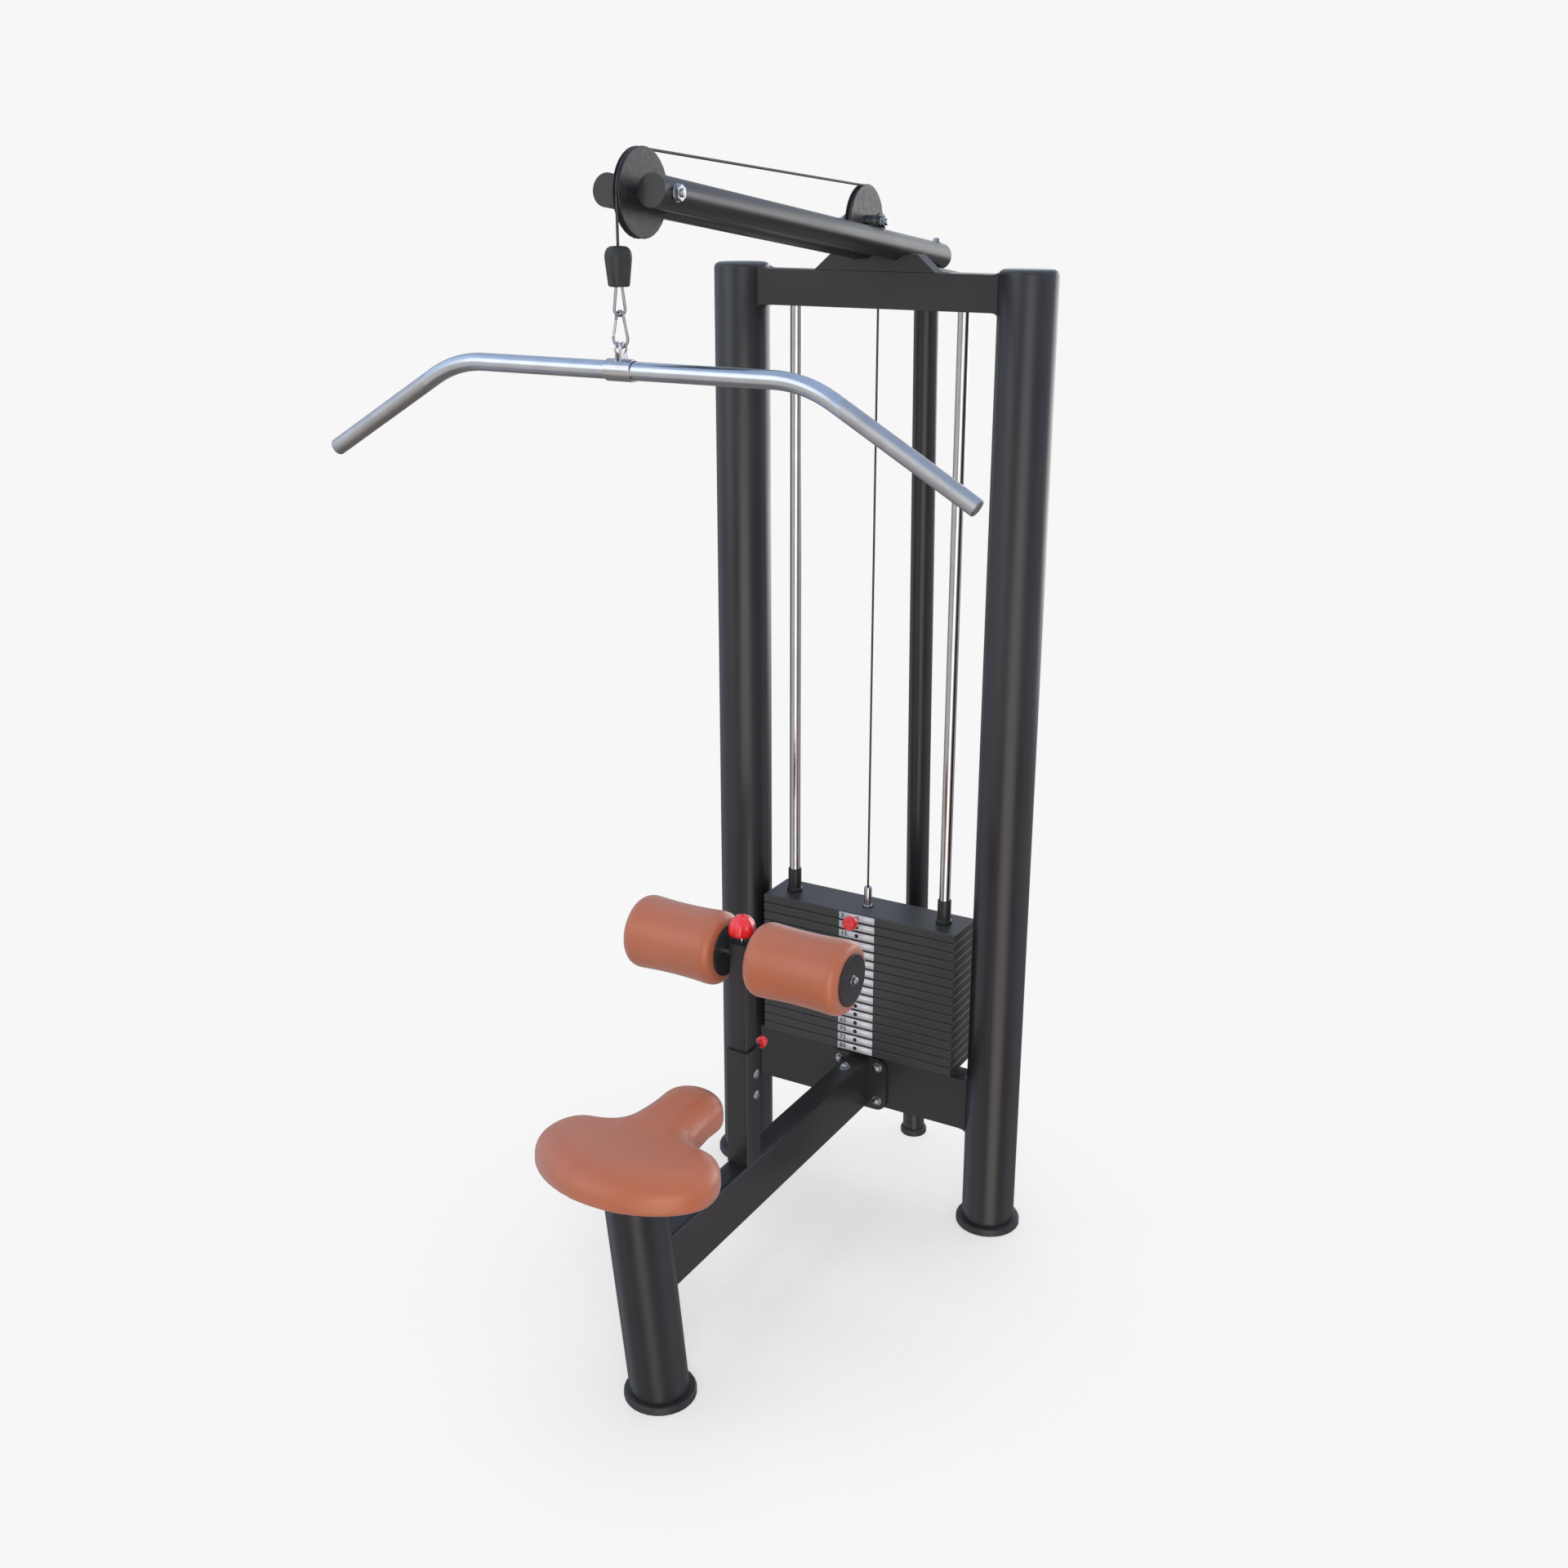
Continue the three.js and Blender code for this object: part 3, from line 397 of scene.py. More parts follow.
def bands(rings, count, closed=False):
    """Quads between rings of count vertices each, with capped ends unless closed joins last to first."""
    faces = []
    for ring in range(rings if closed else rings - 1):
        low, high = ring * count, ((ring + 1) % rings) * count
        for i in range(count):
            after = (i + 1) % count
            faces.append((low + i, low + after, high + after, high + i))
    if not closed:
        faces.append(tuple(reversed(range(count))))
        faces.append(tuple(range((rings - 1) * count, rings * count)))
    return faces


def cross_axes(direction):
    """Two unit vectors across the direction, and its own unit vector."""
    along = Vector(direction).normalized()
    across = along.orthogonal().normalized()
    return across, along.cross(across), along


def lathe_mesh(profile, centre, direction, segments=40, reach=None):
    """Vertices and faces of a turned solid: profile is (radius, height) pairs along direction from centre.

    A reach function of angle and height makes it lobed or square.
    """
    across, up, along = cross_axes(direction)
    least_radius = 0.05 * MM
    verts = []
    for radius, height in profile:
        for i in range(segments):
            angle = 2 * math.pi * i / segments
            out = max(radius, least_radius) * (reach(angle, height) if reach else 1)
            spoke = across * math.cos(angle) + up * math.sin(angle)
            verts.append(Vector(centre) + along * height + spoke * out)
    return verts, bands(len(profile), segments)


def in_mm(profile):
    """A profile written in millimetres, in metres."""
    return [(radius * MM, height * MM) for radius, height in profile]


def lathe(name, profile, centre, direction, material, body, slot=None, edge=0.0, segments=40, reach=None):
    """A turned solid as a piece."""
    verts, faces = lathe_mesh(profile, centre, direction, segments, reach)
    return piece(name, verts, faces, material, body, slot, edge)


def sweep(name, path, radius, material, body, slot=None, segments=16, closed=False, edge=0.0):
    """A round bar or wire along a path."""
    count = len(path)
    verts = []
    side = None
    for i, point in enumerate(path):
        ahead = path[(i + 1) % count] if closed or i < count - 1 else point
        behind = path[i - 1] if closed or i > 0 else point
        tangent = (ahead - behind).normalized()
        side = tangent.orthogonal() if side is None else side - tangent * side.dot(tangent)
        side.normalize()
        up = tangent.cross(side)
        for j in range(segments):
            angle = 2 * math.pi * j / segments
            verts.append(point + (side * math.cos(angle) + up * math.sin(angle)) * radius)
    return piece(name, verts, bands(count, segments, closed), material, body, slot, edge)


def join_meshes(parts):
    """Several (verts, faces) as one."""
    verts, faces = [], []
    for part_verts, part_faces in parts:
        base = len(verts)
        verts += part_verts
        faces += [tuple(base + i for i in face) for face in part_faces]
    return verts, faces


def middle(node):
    """The centre of a CAD node's box."""
    low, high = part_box(node)
    return (low + high) / 2


# ------------------------------------------------------------------ CAD nodes: finish and edge radius
NODE_EDGES = {
    "frame_paint": 1.2 * MM,
    "plate_steel": 0.7 * MM,
    "chrome": 0.5 * MM,
    "zinc_steel": 0.5 * MM,
    "rubber": 1.2 * MM,
    "black_plastic": 0.7 * MM,
}


def dress_cad_nodes():
    """Gives each CAD node the finish of its material slot, and small radii on its edges."""
    slots = {row["node"]: row["material_slot"] for row in frame["record"]["subparts"]}
    for name, obj in frame["nodes"].items():
        slot = slots[name]
        obj.data.materials.clear()
        obj.data.materials.append(FINISHES[slot])
        round_edges(obj, NODE_EDGES.get(slot, 0))


# ------------------------------------------------------------------ seat
def bezier(a, b, c, d, steps):
    """Points of a cubic curve, without its last one."""
    points = []
    for i in range(steps):
        t = i / steps
        s = 1 - t
        points.append(a * s ** 3 + b * 3 * s * s * t + c * 3 * s * t * t + d * t ** 3)
    return points


def saddle_outline(nose, rear, wing):
    """Half of the seat's outline from the nose's tip round to the rear's middle, on the +X side."""
    nose_half, neck_half = 65 * MM, 73 * MM
    neck, shoulder, widest = nose - 145 * MM, nose - 188 * MM, nose - 270 * MM
    steps_each = 14
    spans = [
        ((0, nose), (nose_half * 0.58, nose), (nose_half, nose - 26 * MM), (nose_half, nose - 65 * MM)),
        ((nose_half, nose - 65 * MM), (nose_half, nose - 95 * MM), (neck_half - 4 * MM, neck + 22 * MM),
         (neck_half, neck)),
        ((neck_half, neck), (neck_half + 4 * MM, neck - 26 * MM), (wing * 0.57, shoulder + 10 * MM),
         (wing * 0.73, shoulder)),
        ((wing * 0.73, shoulder), (wing * 0.9, shoulder - 9 * MM), (wing, widest + 34 * MM), (wing, widest)),
        ((wing, widest), (wing, rear + 60 * MM), (wing * 0.57, rear), (0, rear)),
    ]
    points = []
    for span in spans:
        points += bezier(*(Vector((x, y, 0)) for x, y in span), steps_each)
    return points + [Vector((0, rear, 0))]


def inflate(pad, node, voxel, swell, crown=0.0):
    """Makes the pad's skin cloth and blows it up from inside, then fits it back to its solid's own box.

    The skin moves by no more than swell, and the top may stand proud of the box by crown. Only the shape is
    kept, so no cloth is left on the piece.
    """
    scene = bpy.context.scene
    steps = 20
    stiffness = 40
    inset = Vector((0.6 * MM,) * 3)
    remesh = pad.modifiers.new("even skin", "REMESH")
    remesh.mode = "VOXEL"
    remesh.voxel_size = voxel
    even = pad.modifiers.new("ease", "SMOOTH")
    even.factor = 0.5
    even.iterations = 3
    skin = shape_now(pad)
    pad.modifiers.clear()
    pad.data = skin
    flat = [v.co.copy() for v in skin.vertices]
    cloth = pad.modifiers.new("skin", "CLOTH")
    cloth.settings.use_pressure = True
    cloth.settings.uniform_pressure_force = 4
    cloth.settings.effector_weights.gravity = 0
    cloth.settings.tension_stiffness = stiffness
    cloth.settings.compression_stiffness = stiffness
    cloth.point_cache.frame_end = steps
    for step in range(1, steps + 1):
        scene.frame_set(step)
    blown = shape_now(pad)
    pad.modifiers.clear()
    scene.frame_set(1)
    for vertex, start, end in zip(skin.vertices, flat, blown.vertices):
        move = end.co - start
        vertex.co = start + move * min(1, swell / max(move.length, 1e-9))
    low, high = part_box(node)
    low, high = low + inset, high - inset + Vector((0, 0, crown))
    for axis in range(3):
        places = [v.co[axis] for v in skin.vertices]
        least, most = min(places), max(places)
        for vertex in skin.vertices:
            share = (high[axis] - low[axis]) / (most - least)
            vertex.co[axis] = low[axis] + (vertex.co[axis] - least) * share
    skin.polygons.foreach_set("use_smooth", [True] * len(skin.polygons))
    skin.update()
    subdivide = pad.modifiers.new("smooth", "SUBSURF")
    subdivide.levels = subdivide.render_levels = 1


def shape_now(obj):
    """The object's mesh as its modifiers leave it, at the current frame."""
    graph = bpy.context.evaluated_depsgraph_get()
    return bpy.data.meshes.new_from_object(obj.evaluated_get(graph))


def make_seat():
    """A moulded saddle: rings follow its outline from the base round both rims to the top.

    The upper rim is broader at the rear than along the nose, and the padding crowns the top.
    """
    low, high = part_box("seat_cushion")
    half = saddle_outline(high.y, low.y, high.x)
    outline = half + [Vector((-p.x, p.y, 0)) for p in reversed(half[1:-1])]
    count = len(outline)
    inward = []
    for i in range(count):
        run = (outline[(i + 1) % count] - outline[i - 1]).normalized()
        inward.append(Vector((run.y, -run.x, 0)))
    low_rim, high_rim = 12 * MM, 40 * MM
    rear_widening, rear_deepening = 0.55, 0.45
    rear_starts, rear_grows_over = high.y - 230 * MM, 150 * MM
    rearward = [min(max((rear_starts - point.y) / rear_grows_over, 0), 1) for point in outline]
    rings = []
    for k in range(7):
        turn = math.radians(15 * k)
        z = low.z + low_rim * (1 - math.cos(turn))
        rings.append([(low_rim * (1 - math.sin(turn)), z)] * count)
    for k in range(1, 13):
        turn = math.radians(7.5 * k)
        ring = []
        for share in rearward:
            width = high_rim * (1 + rear_widening * share)
            depth = high_rim * (1 + rear_deepening * share)
            ring.append((width * (1 - math.cos(turn)), high.z - depth * (1 - math.sin(turn))))
        rings.append(ring)
    verts = []
    for ring in rings:
        for point, side, (inset, z) in zip(outline, inward, ring):
            verts.append(point + side * inset + Vector((0, 0, z)))
    seat = piece("saddle_seat", verts, bands(len(rings), count), LEATHER, "frame", "leather", None)
    inflate(seat, "seat_cushion", 6 * MM, 6 * MM, crown=2.5 * MM)
    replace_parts(seat, "seat_cushion")


# ------------------------------------------------------------------ knee rollers
def roller_profile(half, radius):
    """A roll along its own axis, from -half to half: flat ends, round shoulders and a waisted barrel."""
    disc_seat = 50 * MM
    waist = radius - 3 * MM
    shoulder_height, shoulder_length = 17 * MM, 20 * MM
    barrel_start = 22 * MM
    end = [(0, 0), (disc_seat - 3 * MM, 0), (disc_seat, 0.4 * MM)]
    for k in range(7):
        turn = math.radians(15 * k)
        end.append((radius - shoulder_height * (1 - math.sin(turn)), shoulder_length * (1 - math.cos(turn))))
    barrel = []
    for k in range(15):
        share = k / 14
        out = waist + (radius - waist) * (2 * share - 1) ** 2
        barrel.append((out, barrel_start + (2 * half - 2 * barrel_start) * share))
    profile = end + barrel + [(r, 2 * half - h) for r, h in reversed(end)]
    return [(r, h - half) for r, h in profile]


def make_rollers():
    """Foam rolls under leather, between black end discs on one axle, with a bolt at each of its ends."""
    disc_profile = in_mm([(20, -1), (46.5, -1), (49.5, -2), (49.8, 0.4), (48.4, 1.4), (46, 1.4), (44.5, 0.9),
                          (10, 0.9), (9.8, -1)])
    for side, sign in (("left", -1), ("right", 1)):
        node = f"{side}_knee_roller"
        low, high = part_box(node)
        centre = (low + high) / 2
        half = (high.x - low.x) / 2
        body = f"{side}_roller"
        profile = roller_profile(half, (high.z - low.z) / 2 - 0.5 * MM)
        cover = lathe(f"{side}_roller_cover", profile, centre, (1, 0, 0), LEATHER, body, "leather", None, 64)
        inflate(cover, node, 5 * MM, 3 * MM)
        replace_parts(cover, node)
        for face, where in (("inner", -sign), ("outer", sign)):
            at = centre + Vector((where * half, 0, 0))
            lathe(f"{side}_roller_{face}_disc", disc_profile, at, (where, 0, 0), FINISHES["black_plastic"],
                  body, "black_plastic", 0.4 * MM, 64)
    axle_low, axle_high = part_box("roller_axle")
    at = middle("roller_axle")
    let_in = 2 * MM
    for side, sign, end in (("left", -1, axle_low.x), ("right", 1, axle_high.x)):
        head = bolt_mesh(Vector((end - sign * let_in, at.y, at.z)), (sign, 0, 0), ROLLER_BOLT)
        piece(f"{side}_roller_bolt", *head, FINISHES["zinc_steel"], "knee_post", "zinc_steel", 0.5 * MM)


# ------------------------------------------------------------------ bolts, nuts and rivets
def dome_profile(radius, height, turns, start=0.0):
    """A dome's quarter arc, by angles in radians, from its rim at the start height."""
    return [(radius * math.cos(turn), start + height * math.sin(turn)) for turn in turns]


def bolt_mesh(centre, direction, size):
    """A domed hexagon nut on its washer; size is the nut's half width across corners."""
    washer = lathe_mesh([(size * 1.25, 0), (size * 1.25, size * 0.16)], centre, direction, 32)
    hexagon = [(size, size * 0.16), (size, size * 0.75), (size * 0.86, size * 0.86)]
    nut = lathe_mesh(hexagon, centre, direction, 6)
    dome = dome_profile(size * 0.8, size * 0.45, (0, 0.4, 0.8, 1.2, 1.5), size * 0.8)
    return join_meshes([washer, nut, lathe_mesh(dome, centre, direction, 24)])


def frame_steel(name, parts, edge=0.5 * MM):
    """Several small meshes as one piece of plated steel on the frame."""
    piece(name, *join_meshes(parts), FINISHES["zinc_steel"], "frame", "zinc_steel", edge)


def make_fasteners():
    """The nuts, bolts and rivets that the frame shows."""
    flange_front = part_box("lower_crossbeam")[0].y - FLANGE_PROUD
    flange = []
    for x in (-FLANGE_NUT_X, FLANGE_NUT_X):
        for z in FLANGE_NUT_HEIGHTS:
            flange.append(bolt_mesh(Vector((x, flange_front, z)), (0, -1, 0), FLANGE_NUT))
    frame_steel("flange_nuts", flange)

    beam = []
    for z, way in ((BEAM_TOP, 1), (BEAM_BOTTOM, -1)):
        beam.append(bolt_mesh(Vector((0, BEAM_BOLT_Y, z)), (0, 0, way), BEAM_NUT))
    frame_steel("beam_bolt", beam)

    sleeve_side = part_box("knee_post_sleeve")[1].x
    rivet_y = middle("knee_post_sleeve").y + RIVET_BACK
    dome = dome_profile(10.5 * MM, 4.5 * MM, (0, 0.3, 0.6, 0.9, 1.2, 1.45))
    rivets = [lathe_mesh(dome, Vector((sleeve_side, rivet_y, z)), (1, 0, 0), 24) for z in RIVET_HEIGHTS]
    frame_steel("sleeve_rivets", rivets, None)

    screw = in_mm([(6.5, -1), (6.5, 2), (5, 3.6), (0, 4)])
    ends = []
    for node in ("front_axle_bolt", "rear_axle_bolt"):
        low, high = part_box(node)
        at = middle(node)
        for sign, end in ((-1, low.x), (1, high.x)):
            ends.append(lathe_mesh(screw, Vector((end, at.y, at.z)), (sign, 0, 0), 20))
    frame_steel("axle_screw_ends", ends, 0.4 * MM)

    tails = []
    x, y, z = ARM_TAIL_NUT
    for sign in (-1, 1):
        tails.append(bolt_mesh(Vector((sign * x, y, z)), (0, ARM_SLOPE, 1), ARM_NUT))
    frame_steel("arm_tail_nuts", tails)


# ------------------------------------------------------------------ knobs and pins
def red_knob(node, name, profile, centre, direction, segments, reach=None):
    """A red moulding that stands for the whole CAD node and rides on the body of the same name."""
    knob = lathe(name, in_mm(profile), centre, direction, FINISHES["red_plastic"], node, "red_plastic", None,
                 segments, reach)
    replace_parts(knob, node)


def steel_rod(name, profile, centre, direction, body, edge):
    """A chromed shank, stem or collar that goes with a knob."""
    lathe(name, profile, centre, direction, FINISHES["chrome"], body, "chrome", edge)


def make_clamp_knob():
    """The lobed knob on top of the knee post, on a threaded stem with a collar."""
    head = [(12, 0), (22, 0), (25.2, 1.5), (26.8, 5), (26.8, 11), (25.8, 18), (23.4, 25), (19.4, 31),
            (14, 35.8), (8.5, 38.4), (4, 39.3), (0.5, 39.5)]
    low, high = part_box("clamp_knob")
    base = Vector((0, middle("clamp_knob").y, high.z - head[-1][1] * MM))
    lobe_depth = 0.055

    def six_lobes(angle, height):
        """Lobes that are faint at the knob's foot."""
        fullness = min(1, height / (8 * MM) + 0.2)
        return 1 - lobe_depth * (1 - math.cos(6 * angle)) * fullness

    red_knob("clamp_knob", "clamp_knob_head", head, base, (0, 0, 1), 72, six_lobes)
    stem = [(4 * MM, low.z - base.z), (4 * MM, 2 * MM)]
    steel_rod("clamp_knob_stem", stem, base, (0, 0, 1), "clamp_knob", None)
    steel_rod("clamp_knob_collar", in_mm([(9, -6), (9, 1)]), base, (0, 0, 1), "clamp_knob", 0.8 * MM)


def make_pop_pin():
    """The sprung pull pin behind the knee post's sleeve, in its threaded barrel."""
    low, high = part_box("pop_pin")
    tip = Vector((0, low.y, middle("pop_pin").z))
    length = high.y - low.y
    head = [(5, -17), (9.8, -17), (10.8, -15.5), (10.8, -5), (10.3, -2), (8.7, -0.6), (5, 0), (0.5, 0.2)]
    head_end = tip + Vector((0, length, 0))
    red_knob("pop_pin", "pop_pin_knob", head, head_end, (0, 1, 0), 48)
    shank = [(3.5 * MM, 0), (3.5 * MM, length - 12 * MM)]
    steel_rod("pop_pin_shank", shank, tip, (0, 1, 0), "pop_pin", 0.8 * MM)
    sleeve_back = Vector((0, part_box("knee_post_sleeve")[1].y, tip.z))
    barrel = in_mm([(9.5, 0), (9.5, 8), (7, 9), (7, 24), (5, 25), (4.2, 25)])
    lathe("pop_pin_barrel", barrel, sleeve_back, (0, 1, 0), FINISHES["zinc_steel"], "frame", "zinc_steel",
          0.5 * MM)


def make_selector_pin():
    """The pin that picks the load, with a waisted ball of a head."""
    low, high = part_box("selector_pin")
    tip = Vector((0, high.y, middle("selector_pin").z))
    length = high.y - low.y
    ball = [(6, -31), (9, -30), (10, -27), (13.4, -22), (15.7, -16), (16, -9), (14.4, -4), (11.6, -0.6),
            (10.4, 0.2), (9.6, -0.6), (4, -0.6), (0.5, -0.5)]
    head_end = tip - Vector((0, length, 0))
    red_knob("selector_pin", "selector_pin_knob", ball, head_end, (0, -1, 0), 48)
    shank = [(4 * MM, 0), (4 * MM, length - 20 * MM)]
    steel_rod("selector_pin_shank", shank, tip, (0, -1, 0), "selector_pin", 0.8 * MM)


# ------------------------------------------------------------------ cable and what hangs on it
def arc(centre, start, end, steps):
    """Points round a pulley, by angle in degrees from +Y towards +Z."""
    angles = [math.radians(start + (end - start) * i / steps) for i in range(steps + 1)]
    return [centre + Vector((0, math.cos(a), math.sin(a))) * WRAP_RADIUS for a in angles]


def straight(a, b, steps):
    """Evenly spaced points from a to b, both included."""
    return [a.lerp(b, i / steps) for i in range(steps + 1)]


def rope(name, path, body):
    """A length of the wire rope as a piece."""
    return sweep(name, path, CABLE_RADIUS, FINISHES["wire_rope"], body, "wire_rope", 12, edge=None)


def upright_run(name, node, top, steps):
    """A run straight down from the top, let into its fitting; it rides on no body."""
    let_in = 4 * MM
    end = Vector((0, top.y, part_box(node)[0].z - let_in))
    path = straight(top, end, steps)
    run = rope(name, path, None)
    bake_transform(run)
    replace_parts(run, node)


def make_cable():
    """One wire rope in three pieces: over the pulleys, down to the bar and down to the stack."""
    front, rear = middle("front_pulley"), middle("rear_pulley")
    slope = math.degrees(math.atan2(front.z - rear.z, rear.y - front.y))
    over = arc(rear, 0, 90 - slope, 20) + arc(front, 90 - slope, 180, 24)
    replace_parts(rope("cable_over_pulleys", over, "frame"), "cable_top_run")
    upright_run("cable_to_bar", "cable_bar_run", front + Vector((0, -WRAP_RADIUS, 0)), 24)
    upright_run("cable_to_stack", "cable_stack_run", rear + Vector((0, WRAP_RADIUS, 0)), 60)


def pear(centre_line, node, radii, turn):
    """A closed wire path that fills a CAD node's height, with its smaller bend at the top."""
    low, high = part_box(node)
    top_radius, bottom_radius = radii
    top_z = high.z - WIRE_RADIUS - top_radius
    bottom_z = low.z + WIRE_RADIUS + bottom_radius
    lean = math.asin((bottom_radius - top_radius) / (top_z - bottom_z))
    top_steps, bottom_steps = 20, 28
    path = []
    for i in range(top_steps + 1):
        angle = lean + (math.pi - 2 * lean) * i / top_steps
        path.append((top_radius * math.cos(angle), top_z + top_radius * math.sin(angle)))
    for i in range(bottom_steps + 1):
        angle = math.pi - lean + (math.pi + 2 * lean) * i / bottom_steps
        path.append((bottom_radius * math.cos(angle), bottom_z + bottom_radius * math.sin(angle)))
    across = Vector((math.cos(turn), math.sin(turn), 0))
    return [centre_line + across * x + Vector((0, 0, z)) for x, z in path]


def make_stopper(line):
    """The rubber stopper: nearly square in section, tapering down, with a rounded top."""
    low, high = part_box("cable_stopper")
    across, _, _ = cross_axes((0, 0, 1))
    square_turn = HANG_TURN - math.atan2(across.y, across.x)
    side = in_mm([(8.5, 0), (12.4, 0), (13.8, 0.9), (14.4, 2.8), (16.3, 22), (18.1, 40), (18, 45),
                  (16.9, 50.4), (14.4, 54.8), (10.6, 57.4), (6, 58), (2.4, 57.4)])
    corner_reach, corner_sharpness = 0.17, 1.6
    tallest = max(height for _, height in side)
    profile = [(radius, height * (high.z - low.z) / tallest) for radius, height in side]

    def square(angle, height):
        return 1 + corner_reach * abs(math.sin(2 * (angle - square_turn))) ** corner_sharpness

    foot = line + Vector((0, 0, low.z))
    stopper = lathe("stopper", profile, foot, (0, 0, 1), FINISHES["rubber"], "stopper", "rubber", None, 64,
                    square)
    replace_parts(stopper, "cable_stopper")


def make_link(line, wire):
    """The closed steel link between the stopper's pin and the snap hook."""
    path = pear(line, "cable_link", LINK_RADII, HANG_TURN)
    link = sweep("link", path, wire, FINISHES["zinc_steel"], "link", "zinc_steel", 16, True, None)
    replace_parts(link, "cable_link")


def make_snap_hook(line, wire):
    """The pear-shaped hook, open on its left side where the gate sits."""
    below_gate, above_gate = 1.2 * MM, 0.7 * MM
    gate_side, opening = -2 * MM, 12 * MM
    loop = pear(line, "carabiner", HOOK_RADII, 0)
    gate_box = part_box("carabiner_gate")
    gate_low, gate_high = gate_box[0].z - below_gate, gate_box[1].z + above_gate
    # The points beside the gate go, the list starts again after that gap, and both ends run on to the gate's.
    spine = [p for p in loop if not (p.x < gate_side and gate_low < p.z < gate_high)]
    first = next(i for i, p in enumerate(spine) if i and (p - spine[i - 1]).length > opening)
    spine = spine[first:] + spine[:first]
    lean = (spine[0] - spine[-1]).normalized()
    spine = [spine[0] - lean * (spine[0].z - gate_low) / lean.z] + spine
    spine.append(spine[-1] + lean * (gate_high - spine[-1].z) / lean.z)
    hook = sweep("snap_hook", spine, wire, FINISHES["zinc_steel"], "carabiner", "zinc_steel", 16)
    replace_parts(hook, "carabiner")


def make_hanging():
    """What hangs between the cable and the bar, its wires a little thinner than the CAD's to swing freely."""
    line = Vector((0, middle("cable_stopper").y, 0))
    wire = WIRE_RADIUS - 0.2 * MM
    make_stopper(line)
    make_link(line, wire)
    make_snap_hook(line, wire)


def make_bar():
    """The bent bar, with a flat end cap let into each end behind a narrow groove."""
    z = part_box("lat_bar")[1].z - BAR_RADIUS
    y = middle("lat_bar").y
    half = straight(Vector((0, y, z)), Vector((BAR_STRAIGHT, y, z)), 6)
    bend_steps = 12
    for k in range(1, bend_steps + 1):
        angle = BAR_DROP * k / bend_steps
        out, down = BAR_BEND_RADIUS * math.sin(angle), BAR_BEND_RADIUS * (1 - math.cos(angle))
        half.append(Vector((BAR_STRAIGHT + out, y, z - down)))
    run = Vector((math.cos(BAR_DROP), 0, -math.sin(BAR_DROP)))
    reach = (BAR_END - half[-1].x) / run.x
    half += straight(half[-1], half[-1] + run * reach, 8)[1:]
    path = [Vector((-p.x, p.y, p.z)) for p in reversed(half[1:])] + half
    bar = sweep("pull_bar", path, BAR_RADIUS, BAR_CHROME, "bar", "chrome", 40, edge=0.8 * MM)
    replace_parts(bar, "lat_bar")
    cap = in_mm([(12.4, -2), (12.4, 1.2), (0.3, 1.6)])
    for side, sign in (("left", -1), ("right", 1)):
        outward = Vector((sign * run.x, 0, run.z))
        at = Vector((sign * half[-1].x, y, half[-1].z))
        lathe(f"{side}_bar_cap", cap, at, outward, FINISHES["zinc_steel"], "bar", "zinc_steel", 0.6 * MM)


# ------------------------------------------------------------------ plate labels
def label_mesh(front, middle_z):
    """A thin strip of foil on a plate's front face, let in a little at the back."""
    half_height = PLATE_THICKNESS / 2 - LABEL_MARGIN
    proud, let_in = 0.35 * MM, 0.3 * MM
    corners = [(-1, -1), (1, -1), (1, 1), (-1, 1)]
    verts = []
    for depth in (-proud, let_in):
        for x, z in corners:
            verts.append(Vector((x * LABEL_HALF_WIDTH, front + depth, middle_z + z * half_height)))
    faces = [(0, 1, 2, 3), (7, 6, 5, 4), (0, 4, 5, 1), (1, 5, 6, 2), (2, 6, 7, 3), (3, 7, 4, 0)]
    return verts, faces


def number_mesh(number, front, middle_z):
    """The plate's number as a flat mesh just off its label."""
    curve = bpy.data.curves.new("number", "FONT")
    curve.body = str(number)
    curve.size = NUMBER_HEIGHT
    curve.space_character = 1.2
    curve.offset = 0.25 * MM
    curve.align_x = "LEFT"
    curve.align_y = "CENTER"
    curve.extrude = 0.1 * MM
    holder = bpy.data.objects.new("number", curve)
    bpy.context.scene.collection.objects.link(holder)
    bpy.context.view_layer.update()
    mesh = bpy.data.meshes.new_from_object(holder)
    stand = Matrix.Rotation(math.radians(90), 4, "X")
    proud = 0.45 * MM
    start = Vector((-LABEL_HALF_WIDTH + NUMBER_MARGIN, front - proud, middle_z))
    verts = [stand @ v.co + start for v in mesh.vertices]
    faces = [tuple(p.vertices) for p in mesh.polygons]
    bpy.data.objects.remove(holder)
    bpy.data.curves.remove(curve)
    bpy.data.meshes.remove(mesh)
    return verts, faces


def make_labels():
    """Foil, number and a painted-shade disc for the pin hole on each plate, the top one's on the body that it
    rises with.
    """
    low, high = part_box("top_plate")
    # Each pin hole is a near-black disc of painted shade, standing a little proud of the label.
    hole = in_mm([(4.6, -0.3), (4.6, 0.5)])
    places = list(range(PLATE_COUNT))
    for body, members in (("lifted_stack", places[:1]), ("frame", places[1:])):
        labels, inks, hole_shades = [], [], []
        for place in members:
            z = high.z - PLATE_PITCH * place - PLATE_THICKNESS / 2
            labels.append(label_mesh(low.y, z))
            inks.append(number_mesh(5 * (place + 1), low.y, z))
            hole_shades.append(lathe_mesh(hole, Vector((0, low.y, z)), (0, -1, 0), 24))
        piece(f"{body}_labels", *join_meshes(labels), FOIL, body, None, None)
        piece(f"{body}_numbers", *join_meshes(inks), INK, body, None, None)
        piece(f"{body}_painted_pin_hole_shades", *join_meshes(hole_shades), HOLE_SHADE, body, None, None)


# ------------------------------------------------------------------ floor and light
BACKDROP = (0.93, 0.93, 0.93, 1)


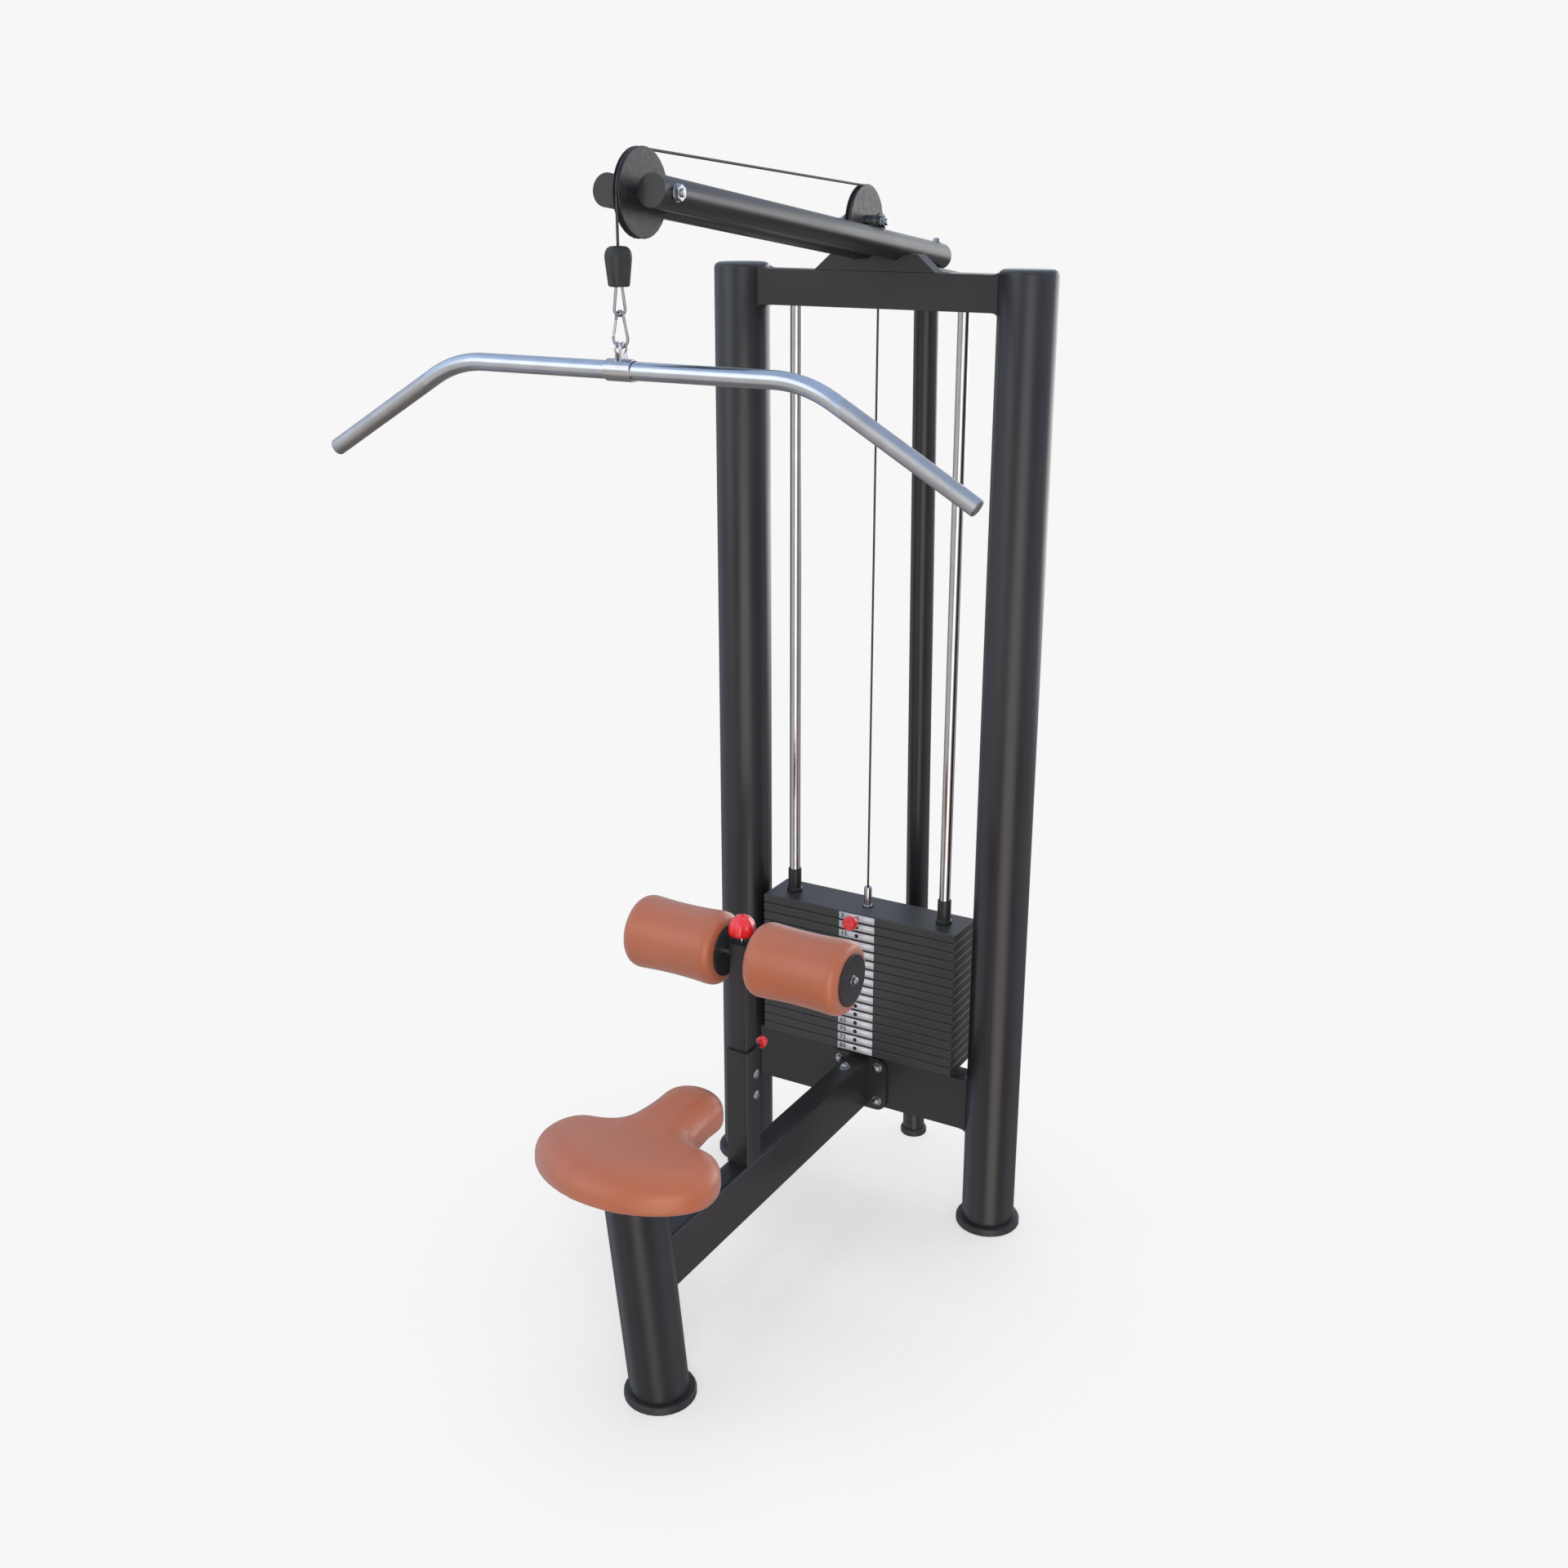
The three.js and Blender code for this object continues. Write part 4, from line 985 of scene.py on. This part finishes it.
def make_floor():
    """A wide pale floor that fades into the backdrop's own white."""
    finish = Finish("floor", Roughness=0.9, Specular_IOR_Level=0.1)
    speck = finish.noise(30, 4)
    finish.wire("Base Color", finish.colour(speck, (0.80, 0.80, 0.80), (0.82, 0.82, 0.82)))
    glow = finish.node("ShaderNodeEmission", {"Color": BACKDROP})
    from_middle = finish.vector("LENGTH", {0: finish.place}, "Value")
    fade = finish.range(from_middle, 0.3, 1.0, 0.1, 1.05, smooth=True)
    mix = finish.node("ShaderNodeMixShader", {"Fac": fade, 1: finish.surface.outputs[0], 2: glow.outputs[0]})
    finish.tree.links.new(mix.outputs[0], finish.tree.nodes["Material Output"].inputs["Surface"])
    size = 60
    corners = [(-size, -size, 0), (size, -size, 0), (size, size, 0), (-size, size, 0)]
    mesh = bpy.data.meshes.new("floor")
    mesh.from_pydata(corners, [], [(0, 1, 2, 3)])
    mesh.materials.append(finish.material)
    floor = bpy.data.objects.new("floor", mesh)
    bpy.context.scene.collection.objects.link(floor)
    floor.visible_glossy = False


def sky_direction(azimuth, elevation):
    """A unit vector by compass angle from -Y towards +X, and height angle."""
    across, up = math.radians(azimuth), math.radians(elevation)
    return (math.sin(across) * math.cos(up), -math.cos(across) * math.cos(up), math.sin(up))


def make_world():
    """A white backdrop behind the object, and around it a studio of soft panels for the metal to reflect."""
    world = bpy.data.worlds.new("studio")
    bpy.context.scene.world = world
    world.use_nodes = True
    world.node_tree.nodes.clear()
    studio = Nodes(world.node_tree, "Generated")
    height = studio.node("ShaderNodeSeparateXYZ", {0: studio.place}).outputs["Z"]
    height = studio.range(height, 0, 1, -1, 1)
    light = studio.ramp(height, [
        (0.0, (0.2, 0.185, 0.18)), (0.35, (0.3, 0.275, 0.265)), (0.5, (0.36, 0.35, 0.355)),
        (0.62, (0.44, 0.48, 0.56)), (0.8, (0.5, 0.62, 0.82)), (1.0, (0.48, 0.62, 0.86))])
    panels = [
        # azimuth, elevation, half width, soft edge, squeeze in height, colour
        (32, -14, 13, 15, 0.42, (1.75, 1.6, 1.45)),
        (-34, 26, 12, 14, 1.0, (1.1, 1.1, 1.1)),
        (-30, -16, 14, 16, 0.6, (0.4, 0.39, 0.36)),
        (172, 3, 26, 12, 2.6, (2.6, 2.6, 2.6)),
        (-80, 0, 18, 18, 0.45, (0.28, 0.36, 0.5)),
        (115, 0, 18, 18, 0.45, (0.25, 0.24, 0.34)),
    ]
    for azimuth, elevation, half_width, edge, squeeze, colour in panels:
        squeezed = studio.vector("MULTIPLY", {0: studio.place, 1: (1, 1, squeeze)}, "Vector")
        look = studio.vector("NORMALIZE", {0: squeezed}, "Vector")
        x, y, z = sky_direction(azimuth, elevation)
        centre = Vector((x, y, z * squeeze)).normalized()
        facing = studio.vector("DOT_PRODUCT", {0: look, 1: centre}, "Value")
        outer, inner = math.cos(math.radians(half_width + edge)), math.cos(math.radians(half_width))
        inside = studio.range(facing, 0.0, 1.0, outer, inner, smooth=True)
        light = studio.blend(inside, light, (*colour, 1), blend_type="ADD")
    panelled = studio.node("ShaderNodeBackground", {"Color": light})
    even = studio.ramp(height, [(0.0, (0.5, 0.5, 0.5)), (0.55, (0.8, 0.8, 0.8)), (1.0, (0.62, 0.62, 0.63))])
    soft = studio.node("ShaderNodeBackground", {"Color": even})
    backdrop = studio.node("ShaderNodeBackground", {"Color": BACKDROP})
    ray = studio.node("ShaderNodeLightPath").outputs
    glossy = {"Fac": ray["Is Glossy Ray"], 1: soft.outputs[0], 2: panelled.outputs[0]}
    lit = studio.node("ShaderNodeMixShader", glossy)
    seen = {"Fac": ray["Is Camera Ray"], 1: lit.outputs[0], 2: backdrop.outputs[0]}
    mix = studio.node("ShaderNodeMixShader", seen)
    studio.node("ShaderNodeOutputWorld", {"Surface": mix.outputs[0]})


def area_light(name, place, target, size, power, tint=(1, 1, 1)):
    """A soft rectangle of light that reflections don't show."""
    data = bpy.data.lights.new(name, "AREA")
    data.shape = "RECTANGLE"
    data.size, data.size_y = size
    data.energy = power
    data.color = tint
    light = bpy.data.objects.new(name, data)
    light.location = place
    light.rotation_euler = (Vector(target) - Vector(place)).to_track_quat("-Z", "Y").to_euler()
    light.visible_glossy = False
    bpy.context.scene.collection.objects.link(light)


def make_lights():
    """A key from the front right, a wide light overhead and a weak cool one from the left."""
    area_light("key", (2.2, -3.6, 1.7), (0, 0, 0.7), (1.8, 1.6), 95, (1.0, 0.97, 0.93))
    area_light("overhead", (0.0, 0.6, 4.4), (0, 0.1, 0.6), (3.0, 2.4), 75)
    area_light("left fill", (-4.0, -1.8, 2.0), (0, 0, 0.9), (2.0, 2.4), 16, (0.93, 0.96, 1.0))


# ------------------------------------------------------------------ the scene
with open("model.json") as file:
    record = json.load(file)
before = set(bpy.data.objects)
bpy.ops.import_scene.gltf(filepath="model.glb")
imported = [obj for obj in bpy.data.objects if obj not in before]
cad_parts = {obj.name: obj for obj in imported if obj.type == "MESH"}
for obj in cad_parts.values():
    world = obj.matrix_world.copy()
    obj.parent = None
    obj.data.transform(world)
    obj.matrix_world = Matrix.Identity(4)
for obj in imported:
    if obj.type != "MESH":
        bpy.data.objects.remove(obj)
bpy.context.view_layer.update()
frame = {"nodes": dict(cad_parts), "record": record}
make_camera()
bpy.context.scene.view_settings.view_transform = "Standard"

FINISHES = {
    "frame_paint": powder_coat(),
    "plate_steel": plate_steel(),
    "chrome": chrome(),
    "zinc_steel": zinc_steel(),
    "wire_rope": wire_rope(),
    "rubber": rubber(),
    "black_plastic": black_plastic(),
    "red_plastic": red_plastic(),
    "leather": leather(),
}
LEATHER = FINISHES["leather"]
BAR_CHROME = bar_chrome()
FOIL, INK, HOLE_SHADE = label_foil(), ink(), hole_black()
SMOOTH = smooth_by_angle()

dress_cad_nodes()
make_seat()
make_rollers()
make_fasteners()
make_clamp_knob()
make_pop_pin()
make_selector_pin()
make_cable()
make_hanging()
make_bar()
make_labels()
make_floor()
make_world()
make_lights()
